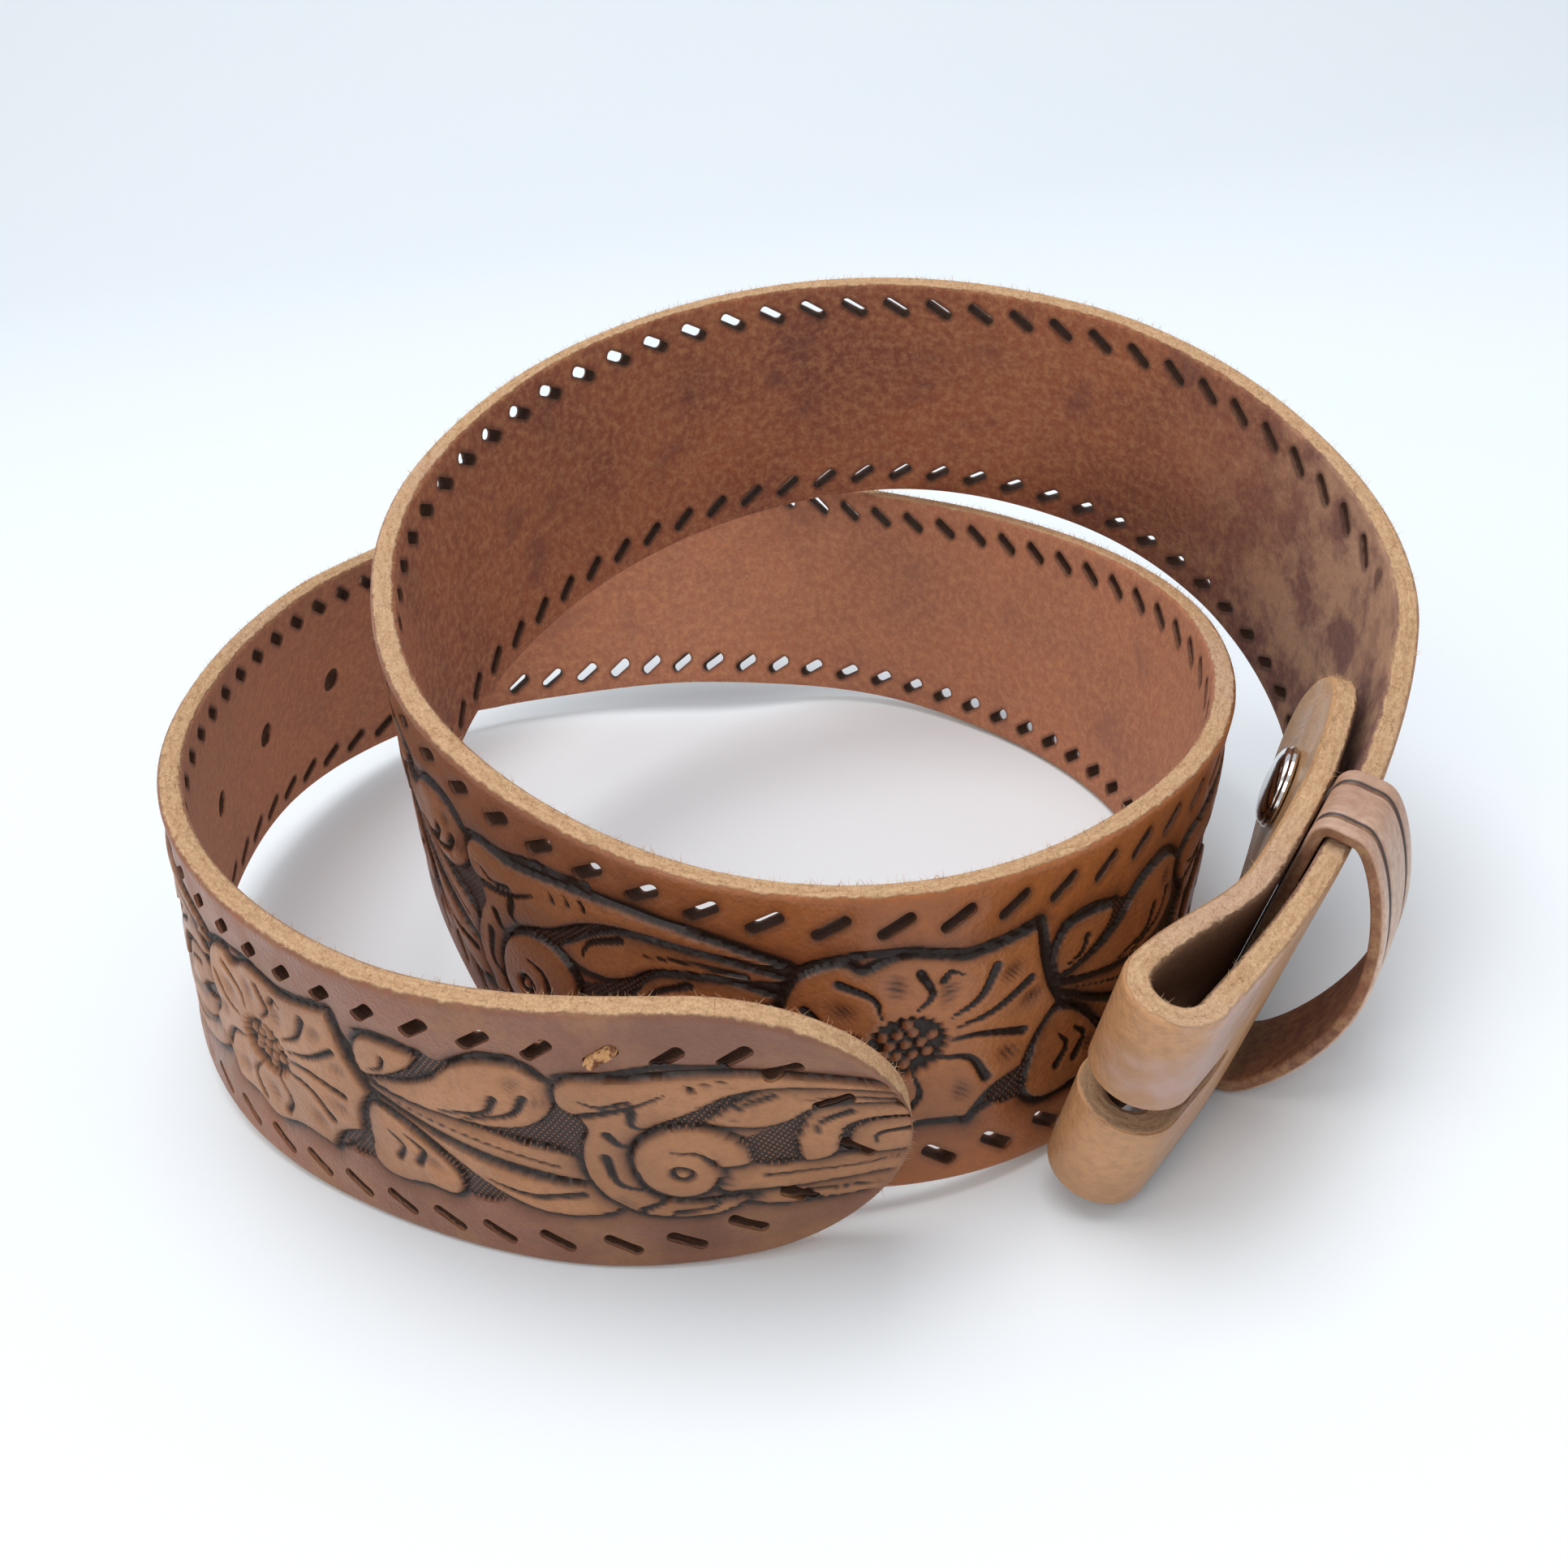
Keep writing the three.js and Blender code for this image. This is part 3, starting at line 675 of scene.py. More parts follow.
class Tree:
    """A node tree with short ways to add nodes and join them."""

    def __init__(self, tree):
        self.tree = tree

    def node(self, kind, inputs=None, **settings):
        made = self.tree.nodes.new(kind)
        for name, value in settings.items():
            setattr(made, name, value)
        for key, value in (inputs or {}).items():
            self.feed(made.inputs[key], value)
        return made

    def feed(self, socket, value):
        if isinstance(value, bpy.types.NodeSocket):
            self.tree.links.new(value, socket)
        else:
            socket.default_value = value

    def math(self, operation, a, b=0.0, clamp=False):
        kind = "ShaderNodeMath"
        return self.node(kind, {0: a, 1: b}, operation=operation, use_clamp=clamp).outputs[0]

    def mix(self, share, a, b, blend="MIX"):
        made = self.node("ShaderNodeMix", {0: share, 6: a, 7: b}, data_type="RGBA",
                         blend_type=blend)
        return made.outputs[2]

    def between(self, value, low, high, to_low=0.0, to_high=1.0):
        inputs = {"Value": value, "From Min": low, "From Max": high, "To Min": to_low,
                  "To Max": to_high}
        return self.node("ShaderNodeMapRange", inputs, interpolation_type="SMOOTHSTEP").outputs[0]

    def noise(self, place, scale, detail=3.0, roughness=0.55):
        inputs = {"Vector": place, "Scale": scale, "Detail": detail, "Roughness": roughness}
        return self.node("ShaderNodeTexNoise", inputs).outputs[0]

    def stretched(self, place, scale):
        inputs = {0: place, 1: scale}
        return self.node("ShaderNodeVectorMath", inputs, operation="MULTIPLY").outputs[0]

    def cells(self, place, scale, feature="F1"):
        return self.node("ShaderNodeTexVoronoi", {"Vector": place, "Scale": scale},
                         feature=feature).outputs[0]

    def group(self, tree, inputs):
        made = self.tree.nodes.new("ShaderNodeGroup")
        made.node_tree = tree
        for key, value in inputs.items():
            self.feed(made.inputs[key], value)
        return made.outputs


def new_group(name, inputs, outputs):
    """A shader group with named sockets: the tree, its inputs and a way to set its outputs."""
    tree = bpy.data.node_groups.new(name, "ShaderNodeTree")
    kinds = {"c": "NodeSocketColor", "f": "NodeSocketFloat", "v": "NodeSocketVector"}
    for label, kind in inputs.items():
        tree.interface.new_socket(label, in_out="INPUT", socket_type=kinds[kind])
    for label, kind in outputs.items():
        tree.interface.new_socket(label, in_out="OUTPUT", socket_type=kinds[kind])
    work = Tree(tree)
    given = tree.nodes.new("NodeGroupInput").outputs
    result = tree.nodes.new("NodeGroupOutput").inputs
    return work, given, result


def grain_group():
    """Smooth tanned leather: cloudy colour, fine pores and light rubbed spots."""
    t, given, result = new_group(
        "smooth grain", {"Place": "v", "Tan": "c", "Darker": "c"},
        {"Color": "c", "Roughness": "f", "Height": "f"})
    place = given["Place"]
    cloud = t.between(t.noise(place, 38, 5, 0.62), 0.38, 0.66)
    colour = t.mix(t.math("MULTIPLY", cloud, 0.62), given["Tan"], given["Darker"])
    fine = t.noise(place, 900, 4, 0.65)
    colour = t.mix(t.between(fine, 0.38, 0.7, 0.0, 0.5), colour, given["Darker"])
    streaks = t.noise(t.stretched(place, (60, 420, 60)), 1.0, 3)
    colour = t.mix(t.between(streaks, 0.5, 0.8, 0.0, 0.25), colour, given["Tan"])
    pores = t.cells(place, 1500)
    height = t.math("ADD", t.math("MULTIPLY", fine, 0.6), t.math("MULTIPLY", pores, 0.5))
    t.feed(result["Color"], colour)
    t.feed(result["Roughness"], t.between(t.noise(place, 160, 3), 0.3, 0.7, 0.31, 0.47))
    t.feed(result["Height"], height)
    return t.tree


def flesh_group():
    """The rough side: mottled red brown with pale flecks, dark patches and short nap."""
    t, given, result = new_group(
        "rough flesh", {"Place": "v", "Brown": "c", "Fleck": "c"},
        {"Color": "c", "Roughness": "f", "Height": "f"})
    place = given["Place"]
    patch = t.between(t.noise(place, 24, 4, 0.6), 0.38, 0.68)
    dark = t.mix(0.55, given["Brown"], (0.1, 0.028, 0.026, 1))
    colour = t.mix(patch, given["Brown"], dark)
    red = t.between(t.noise(place, 55, 3), 0.5, 0.72)
    colour = t.mix(t.math("MULTIPLY", red, 0.45), colour, (0.30, 0.075, 0.03, 1))
    nap = t.noise(place, 620, 4, 0.65)
    colour = t.mix(t.between(nap, 0.36, 0.68, 0.0, 0.5), colour, given["Fleck"])
    pits = t.noise(place, 1500, 3, 0.6)
    colour = t.mix(t.between(pits, 0.45, 0.68, 0.0, 0.5), colour, dark)
    stains = t.between(t.noise(place, 75, 5, 0.7), 0.54, 0.7)
    colour = t.mix(t.math("MULTIPLY", stains, 0.5), colour, (0.13, 0.045, 0.04, 1))
    flecks = t.between(t.noise(t.stretched(place, (1, 1.7, 1)), 1250, 2, 0.5), 0.66, 0.78)
    spread = t.between(t.noise(place, 130, 2), 0.42, 0.66)
    colour = t.mix(t.math("MULTIPLY", flecks, spread), colour,
                   given["Fleck"])
    t.feed(result["Color"], colour)
    t.feed(result["Roughness"], t.between(nap, 0.3, 0.7, 0.72, 0.95))
    t.feed(result["Height"], t.math("ADD", nap, t.math("MULTIPLY", flecks, 0.6)))
    return t.tree


def raw_edge_group():
    """A cut edge: fuzzy, layered and lighter than both sides."""
    t, given, result = new_group(
        "raw edge", {"Place": "v", "Pale": "c", "Dark": "c"},
        {"Color": "c", "Roughness": "f", "Height": "f"})
    place = given["Place"]
    layers = t.noise(t.stretched(place, (260, 900, 1600)), 1.0, 3, 0.6)
    fuzz = t.noise(place, 1100, 4, 0.7)
    colour = t.mix(t.between(layers, 0.38, 0.75, 0.0, 0.6), given["Pale"], given["Dark"])
    grit = t.noise(place, 2600, 3, 0.7)
    colour = t.mix(t.between(grit, 0.42, 0.66, 0.0, 0.5), colour, given["Dark"])
    colour = t.mix(t.between(fuzz, 0.52, 0.74, 0.0, 0.5), colour, (0.78, 0.56, 0.32, 1))
    grey = t.between(t.noise(place, 18, 3), 0.5, 0.7, 0.0, 0.5)
    colour = t.mix(grey, colour, (0.56, 0.37, 0.29, 1))
    t.feed(result["Color"], colour)
    t.feed(result["Roughness"], t.between(fuzz, 0.3, 0.7, 0.75, 0.95))
    t.feed(result["Height"], t.math("ADD", fuzz, layers))
    return t.tree


def slot_shadow_group():
    """Mask for painted shade round the lacing slots' rims, from the slots' own spacing."""
    t, given, result = new_group(
        "slot shadow", {"Along": "f", "Across": "f"}, {"Mask": "f"})
    steps = t.math("DIVIDE", t.math("SUBTRACT", given["Along"], SLOT_START * MM),
                   SLOT_PITCH * MM)
    part = t.math("SUBTRACT", steps, t.math("ROUND", steps))
    run = t.math("MULTIPLY", part, SLOT_PITCH)
    row = (BELT_WIDTH / 2 - SLOT_INSET) * MM
    side = t.math("MULTIPLY", t.math("SUBTRACT", t.math("ABSOLUTE", given["Across"]), row), 1000)
    slant = math.radians(SLOT_SLANT)
    long_way = t.math("SUBTRACT", t.math("MULTIPLY", run, math.cos(slant)),
                      t.math("MULTIPLY", side, math.sin(slant)))
    short_way = t.math("ADD", t.math("MULTIPLY", run, math.sin(slant)),
                       t.math("MULTIPLY", side, math.cos(slant)))
    past = t.math("MAXIMUM", t.math("SUBTRACT", t.math("ABSOLUTE", long_way), 1.6), 0.0)
    gap = t.math("SQRT", t.math("ADD", t.math("MULTIPLY", past, past),
                                t.math("MULTIPLY", short_way, short_way)))
    near = t.between(gap, 0.95, 1.9, 1, 0)
    inside_run = t.math("MULTIPLY", t.between(given["Along"], 0.11, 0.12),
                        t.between(given["Along"], 0.902, 0.904, 1, 0))
    t.feed(result["Mask"], t.math("MULTIPLY", near, inside_run))
    return t.tree


def attribute(t, name, output):
    """A mesh's named value in a material."""
    return t.node("ShaderNodeAttribute", attribute_name=name).outputs[output]


def new_material(name):
    """An empty node material: its tree and its Principled shader."""
    material = bpy.data.materials.new(name)
    material.use_nodes = True
    shader = material.node_tree.nodes["Principled BSDF"]
    return material, Tree(material.node_tree), shader


def strap_material(colours, groups):
    """The strap: stained and carved grain outside, rough flesh inside, raw edges between."""
    material, t, shader = new_material("tooled strap leather")
    place = attribute(t, "flat", "Vector")
    split = t.node("ShaderNodeSeparateXYZ", {0: place})
    along, out = split.outputs[0], split.outputs[2]
    stain = attribute(t, "stain", "Fac")
    matting = attribute(t, "matting", "Fac")
    raised = attribute(t, "raised", "Fac")

    tip = t.between(along, 0.02, 0.2, 1, 0)
    # Painted shade: the margin is darkened from 0.54 m to 0.68 m along the strap.
    band_shade = t.math("MULTIPLY", t.between(along, 0.54, 0.6), t.between(along, 0.68, 0.62))
    buckle_end = t.between(along, 0.9, 0.96)
    margin = t.mix(tip, tuple(colours.grain), tuple(colours.grain_tip))
    margin = t.mix(t.math("MULTIPLY", band_shade, 0.6), margin, (0.2, 0.08, 0.045, 1))
    margin = t.mix(buckle_end, margin, (0.54, 0.28, 0.13, 1))
    margin = t.mix(t.between(along, 1.0, 1.04), margin, (0.66, 0.37, 0.17, 1))
    golden = t.between(t.noise(place, 62, 4, 0.6), 0.44, 0.62, 0.0, 0.55)
    margin = t.mix(t.math("MULTIPLY", golden, t.between(along, 0.45, 0.2)), margin,
                   (0.34, 0.155, 0.062, 1))
    motif = t.mix(t.between(along, 0.1, 0.4, 0.9, 0.35), margin, tuple(colours.motif))
    tan = t.mix(raised, margin, motif)
    darker = t.mix(0.5, tan, (0.1, 0.035, 0.018, 1))
    grain = t.group(groups["grain"], {"Place": place, "Tan": tan, "Darker": darker})

    weave = t.math("MULTIPLY", t.math("SINE", t.math("MULTIPLY", along, 7400)),
                   t.math("SINE", t.math("MULTIPLY", split.outputs[1], 6600)))
    specks = t.math("MULTIPLY", t.between(weave, -0.1, 0.7), matting)
    worn = t.between(t.noise(place, 260, 3), 0.35, 0.65, 0.86, 1.04)
    antique = t.between(along, 0.2, 0.42, 1.0, 1.45)
    depth = t.math("MULTIPLY", t.math("MULTIPLY", stain, antique), worn, clamp=True)
    depth = t.math("SUBTRACT", depth, t.math("MULTIPLY", specks, 0.42), clamp=True)
    depth = t.math("ADD", depth, t.math("MULTIPLY", t.math("SUBTRACT", matting, specks), 0.3),
                   clamp=True)
    light_stain = t.mix(t.between(depth, 0.0, 0.5), grain["Color"],
                        t.mix(0.6, grain["Color"], (0.1, 0.032, 0.014, 1)))
    tooled = t.mix(t.between(depth, 0.35, 0.95), light_stain, tuple(colours.stain))
    tooled_rough = t.math("ADD", grain["Roughness"], t.math("MULTIPLY", depth, 0.1))

    patch = t.between(t.noise(place, 48, 4, 0.6), 0.5, 0.66)
    patch = t.math("MULTIPLY", patch, t.between(along, 0.905, 0.93))
    patch = t.math("MULTIPLY", patch, t.between(along, 1.03, 1.0, 0.0, 0.7))
    tooled = t.mix(patch, tooled, (0.50, 0.335, 0.30, 1))

    flesh = t.group(groups["flesh"], {"Place": place, "Brown": tuple(colours.flesh),
                                      "Fleck": (0.56, 0.27, 0.12, 1)})
    # Painted sheen: the flesh is paler from 0.58 m along towards the tip, most of all near the tip.
    pale = t.math("ADD", t.between(along, 0.58, 0.44, 0.0, 0.24),
                  t.between(along, 0.24, 0.1, 0.0, 0.2))
    flesh_colour = t.mix(pale, flesh["Color"], (0.72, 0.34, 0.2, 1))
    grey_end = t.math("MULTIPLY", t.between(along, 0.83, 0.9), t.between(along, 1.0, 0.94))
    rubbed = t.between(t.noise(place, 90, 4, 0.65), 0.4, 0.62)
    worn_end = t.mix(rubbed, (0.16, 0.09, 0.085, 1), (0.5, 0.31, 0.2, 1))
    flesh_colour = t.mix(t.math("MULTIPLY", grey_end, 0.75), flesh_colour, worn_end)
    # Painted shade: the flesh just before the fold, facing the flap, is darkened.
    fold_shade = t.math("MULTIPLY", t.between(along, 0.955, 0.985), 0.75)
    flesh_colour = t.mix(fold_shade, flesh_colour, (0.12, 0.07, 0.035, 1))
    edge = t.group(groups["edge"], {"Place": place, "Pale": tuple(colours.edge),
                                    "Dark": (0.38, 0.19, 0.09, 1)})

    # Painted shade round the slot rims, partly the darker pressed rim: grain and flesh are darkened
    # next to each slot.
    slot_rim_shade = t.group(groups["slots"], {"Along": along, "Across": split.outputs[1]})["Mask"]
    tooled = t.mix(t.math("MULTIPLY", slot_rim_shade, 0.42), tooled, (0.05, 0.018, 0.008, 1))
    flesh_colour = t.mix(t.math("MULTIPLY", slot_rim_shade, 0.62), flesh_colour, (0.05, 0.02, 0.012, 1))
    slot_wall = attribute(t, "within", "Fac")
    edge_colour = t.mix(slot_wall, edge["Color"], (0.085, 0.035, 0.018, 1))

    ragged = t.math("MULTIPLY", t.math("SUBTRACT", t.noise(place, 700, 3), 0.5), 0.0009)
    level = t.math("ADD", out, ragged)
    on_grain = t.between(level, 0.00115, 0.00155)
    on_flesh = t.between(level, -0.0012, -0.0016)
    colour = t.mix(on_flesh, edge_colour, flesh_colour)
    colour = t.mix(on_grain, colour, tooled)
    rough = t.node("ShaderNodeMix", {0: on_grain, 2: edge["Roughness"], 3: tooled_rough}).outputs[0]
    rough_edge = t.math("MULTIPLY", edge["Height"], 1.7)
    height_rough = t.node("ShaderNodeMix", {0: on_flesh, 2: rough_edge, 3: flesh["Height"]})
    grain_height = t.math("SUBTRACT", t.math("MULTIPLY", grain["Height"], 0.6),
                          t.math("MULTIPLY", t.math("SUBTRACT", matting, specks), 0.9))
    height = t.node("ShaderNodeMix", {0: on_grain, 2: height_rough.outputs[0], 3: grain_height})
    bump = t.node("ShaderNodeBump", {"Height": height.outputs[0], "Strength": 0.55,
                                     "Distance": 0.0004})
    t.feed(shader.inputs["Base Color"], colour)
    t.feed(shader.inputs["Roughness"], rough)
    t.feed(shader.inputs["Normal"], bump.outputs[0])
    shader.inputs["Specular IOR Level"].default_value = 0.42
    return material


def keeper_material(colours, groups):
    """The keeper: smooth grain with two dark grooves outside, suede inside."""
    material, t, shader = new_material("keeper leather")
    place = attribute(t, "flat", "Vector")
    groove = attribute(t, "groove", "Fac")
    wall = attribute(t, "wall", "Fac")
    grain = t.group(groups["grain"], {"Place": place, "Tan": tuple(colours.keeper),
                                      "Darker": (0.3, 0.13, 0.07, 1)})
    flesh = t.group(groups["flesh"], {"Place": place, "Brown": (0.27, 0.12, 0.06, 1),
                                      "Fleck": (0.5, 0.3, 0.15, 1)})
    lined = t.mix(t.between(groove, 0.04, 0.4), grain["Color"], (0.016, 0.017, 0.024, 1))
    on_grain = t.between(wall, 0.72, 0.92)
    colour = t.mix(on_grain, flesh["Color"], lined)
    rough = t.node("ShaderNodeMix", {0: on_grain, 2: flesh["Roughness"], 3: grain["Roughness"]})
    height = t.node("ShaderNodeMix", {0: on_grain, 2: flesh["Height"],
                                      3: t.math("MULTIPLY", grain["Height"], 0.2)})
    bump = t.node("ShaderNodeBump", {"Height": height.outputs[0], "Strength": 0.5,
                                     "Distance": 0.0004})
    t.feed(shader.inputs["Base Color"], colour)
    t.feed(shader.inputs["Roughness"], rough.outputs[0])
    t.feed(shader.inputs["Normal"], bump.outputs[0])
    return material


def metal_material(name, colour, low, high):
    """Nickel plate with fine handling scratches and dulled patches."""
    material, t, shader = new_material(name)
    place = t.node("ShaderNodeTexCoord").outputs["Object"]
    dull = t.between(t.noise(place, 420, 4), 0.35, 0.7, low, high)
    tone = t.mix(t.between(t.noise(place, 260, 3), 0.4, 0.75, 0.0, 0.45), colour,
                 tuple(0.6 * part for part in colour[:3]) + (1,))
    scratch = t.noise(t.stretched(place, (300, 4200, 900)), 1.0, 2)
    bump = t.node("ShaderNodeBump", {"Height": scratch, "Strength": 0.06, "Distance": 0.0002})
    t.feed(shader.inputs["Base Color"], tone)
    t.feed(shader.inputs["Roughness"], dull)
    t.feed(shader.inputs["Normal"], bump.outputs[0])
    shader.inputs["Metallic"].default_value = 1
    return material


def lace_material():
    """Raw lace: pale with dark stained spots."""
    material, t, shader = new_material("lace leather")
    place = t.node("ShaderNodeTexCoord").outputs["Object"]
    spots = t.between(t.noise(place, 900, 4, 0.6), 0.42, 0.62)
    colour = t.mix(spots, (0.62, 0.32, 0.12, 1), (0.16, 0.05, 0.02, 1))
    bump = t.node("ShaderNodeBump", {"Height": t.noise(place, 1500, 3), "Strength": 0.6,
                                     "Distance": 0.0003})
    t.feed(shader.inputs["Base Color"], colour)
    t.feed(shader.inputs["Roughness"], t.between(spots, 0, 1, 0.55, 0.85))
    t.feed(shader.inputs["Normal"], bump.outputs[0])
    return material


# Punches for slots and holes, set out by Geometry Nodes

def punch_tree():
    """Sets a rounded punch on each point, turned by the point's own turn."""
    tree = bpy.data.node_groups.new("punches", "GeometryNodeTree")
    tree.interface.new_socket("Points", in_out="INPUT", socket_type="NodeSocketGeometry")
    for label in ("Length", "Width", "Depth", "Corner"):
        tree.interface.new_socket(label, in_out="INPUT", socket_type="NodeSocketFloat")
    tree.interface.new_socket("Material", in_out="INPUT", socket_type="NodeSocketMaterial")
    tree.interface.new_socket("Punches", in_out="OUTPUT", socket_type="NodeSocketGeometry")
    t = Tree(tree)
    given = tree.nodes.new("NodeGroupInput").outputs
    outline = t.node("GeometryNodeCurvePrimitiveQuadrilateral",
                     {"Width": given["Length"], "Height": given["Width"]})
    rounded = t.node("GeometryNodeFilletCurve", {"Curve": outline.outputs[0],
                                                 "Radius": given["Corner"]}, mode="POLY")
    rounded.inputs["Count"].default_value = 4
    face = t.node("GeometryNodeFillCurve", {"Curve": rounded.outputs[0]}, mode="NGONS")
    rise = t.node("ShaderNodeCombineXYZ", {"Z": given["Depth"]})
    wall = t.node("GeometryNodeExtrudeMesh", {"Mesh": face.outputs[0], "Offset": rise.outputs[0]})
    wall.inputs["Individual"].default_value = False
    back = t.node("GeometryNodeFlipFaces", {"Mesh": face.outputs[0]})
    whole = t.node("GeometryNodeJoinGeometry")
    t.feed(whole.inputs[0], wall.outputs[0])
    t.feed(whole.inputs[0], back.outputs[0])
    joined = t.node("GeometryNodeMergeByDistance", {"Geometry": whole.outputs[0],
                                                    "Distance": 0.00001})
    drop = t.math("MULTIPLY", given["Depth"], -0.5)
    centred = t.node("GeometryNodeTransform", {"Geometry": joined.outputs[0]})
    t.feed(centred.inputs["Translation"], t.node("ShaderNodeCombineXYZ", {"Z": drop}).outputs[0])
    turn = t.node("GeometryNodeInputNamedAttribute", {"Name": "turn"}, data_type="FLOAT")
    angle = t.node("ShaderNodeCombineXYZ", {"Z": turn.outputs[0]})
    placed_punches = t.node("GeometryNodeInstanceOnPoints",
                            {"Points": given["Points"], "Instance": centred.outputs[0],
                             "Rotation": angle.outputs[0]})
    real = t.node("GeometryNodeRealizeInstances", {"Geometry": placed_punches.outputs[0]})
    painted = t.node("GeometryNodeSetMaterial", {"Geometry": real.outputs[0],
                                                 "Material": given["Material"]})
    result = tree.nodes.new("NodeGroupOutput")
    t.feed(result.inputs[0], painted.outputs[0])
    return tree


def punches(tree, material, points, length, width, corner):
    """A closed mesh of punches at flat places (along, across, turn), in metres."""
    points = np.array(points, float)
    mesh = bpy.data.meshes.new("punch points")
    mesh.vertices.add(len(points))
    flat = np.stack([points[:, 0] * MM, points[:, 1] * MM, 0 * points[:, 0]], -1)
    mesh.vertices.foreach_set("co", flat.astype(np.float32).ravel())
    add_values(mesh, "turn", points[:, 2])
    holder = linked("punch points", mesh)
    modifier = holder.modifiers.new("punches", "NODES")
    modifier.node_group = tree
    values = {"Length": length, "Width": width, "Depth": 4 * LEATHER * MM, "Corner": corner,
              "Material": material}
    for item in tree.interface.items_tree:
        if item.name in values and item.in_out == "INPUT":
            modifier[item.identifier] = values[item.name]
    made = plain_mesh(holder)
    bpy.data.objects.remove(holder)
    work = bmesh.new()
    work.from_mesh(made)
    bmesh.ops.recalc_face_normals(work, faces=work.faces)
    work.to_mesh(made)
    work.free()
    return made


def faded(along, start, length):
    """A share that is 1 up to start and fades to 0 over a length."""
    return np.clip((start + length - along) / length, 0, 1)


def slot_across(along, row):
    """How far from the middle a lacing slot sits. Both rows draw in towards the tip."""
    draw = 2 * faded(along, 25, 30) + faded(along, 85, 30) if row > 0 else 2 * faded(along, 26, 6)
    return row * (half_width(np.maximum(along, 40)) - SLOT_INSET - draw)


def slot_places(pitch):
    """Lacing slots as (along, across, turn): two rows, and those that follow the tongue."""
    last = RUN_LENGTH - BUCKLE_END - 8
    slant = math.radians(SLOT_SLANT)
    places = [(16.8, 11.9, -0.33), (12.2, 5.2, -0.19), (10.9, -4.8, 0.72), (19.2, -12, 0.55)]
    along = SLOT_START
    while along <= last:
        places.append((along, float(slot_across(along, 1)), -slant))
        if along > SLOT_START:
            drift = 2.2 * faded(along, 100, 80) + faded(along, 45, 15)
            places.append((along - drift, float(slot_across(along - drift, -1)), slant))
        along += pitch
    return places


def hole_places():
    """Sizing holes as (along, across, turn)."""
    middle = RUN_LENGTH - HOLE_TO_FOLD
    return [(middle + step * HOLE_PITCH, 0, 0) for step in range(-2, 3)]


# The strap

def strap_columns(step):
    """Places of the strap's cross-sections along its flat length."""
    share = np.linspace(0, 1, round(30 / math.sqrt(step)))[1:]
    tip = TONGUE_LENGTH * share ** 2
    tip = TIP_START + tip[tip > 0.012]
    body = np.arange(tip[-1] + step, PLAIN_FROM + 8, step)
    plain = np.arange(body[-1] + 2 * step, RUN_LENGTH - 20, 2 * step)
    fold = np.arange(plain[-1] + step, RUN_LENGTH + FOLD_ARC + 20, step)
    flap = np.arange(fold[-1] + 2 * step, FLAT_LENGTH - FLAP_NOSE, 2 * step)
    nose = FLAT_LENGTH - FLAP_NOSE * np.linspace(1, 0, round(24 / math.sqrt(step)))[:-1] ** 2
    return np.concatenate([tip, body, plain, fold, flap, nose])


def strap_section(step, edge_round):
    """One ring of the strap's section: share of the core, push outwards and height, by point."""
    fine = np.arange(-14.5, 14.5 + step / 2, step) / (BELT_WIDTH / 2)
    coarse = np.linspace(fine[-1], 1, round(7.5 / (2 * step)) + 2)[1:]
    grain = np.concatenate([-coarse[::-1], fine, coarse])
    flesh = np.linspace(1, -1, 17)
    quarter = np.radians([22.5, 45, 67.5, 90])
    top = LEATHER / 2 - edge_round
    points = [(-1, -math.sin(a), top + edge_round * math.cos(a)) for a in quarter[::-1]]
    points += [(share, 0, LEATHER / 2) for share in grain]
    points += [(1, math.sin(a), top + edge_round * math.cos(a)) for a in quarter]
    points += [(1, 1, 0)]
    points += [(1, math.sin(a), -top - edge_round * math.cos(a)) for a in quarter[::-1]]
    points += [(share, 0, -LEATHER / 2) for share in flesh]
    points += [(-1, -math.sin(a), -top - edge_round * math.cos(a)) for a in quarter]
    points += [(-1, -1, 0)]
    return np.array(points)


def slice_across(mesh, first, last):
    """Cuts a tool into short lengths, so that the walls it leaves can follow the fold."""
    work = bmesh.new()
    work.from_mesh(mesh)
    for along in np.arange(first, last, 0.8):
        everything = work.verts[:] + work.edges[:] + work.faces[:]
        bmesh.ops.bisect_plane(work, geom=everything, plane_co=(along * MM, 0, 0),
                               plane_no=(1, 0, 0))
    work.to_mesh(mesh)
    work.free()


def flat_strap(step, edge_round):
    """The uncarved strap, flat, as a closed mesh in metres."""
    along = strap_columns(step)
    section = strap_section(step, edge_round)
    half = half_width(along)[:, None]
    reach = np.minimum(edge_round, half * 0.5)
    across = section[None, :, 0] * (half - reach) + section[None, :, 1] * reach
    out = np.broadcast_to(section[None, :, 2], across.shape)
    rings = np.stack([np.broadcast_to(along[:, None], across.shape), across, out], -1)
    return ring_mesh("flat strap", rings * MM)


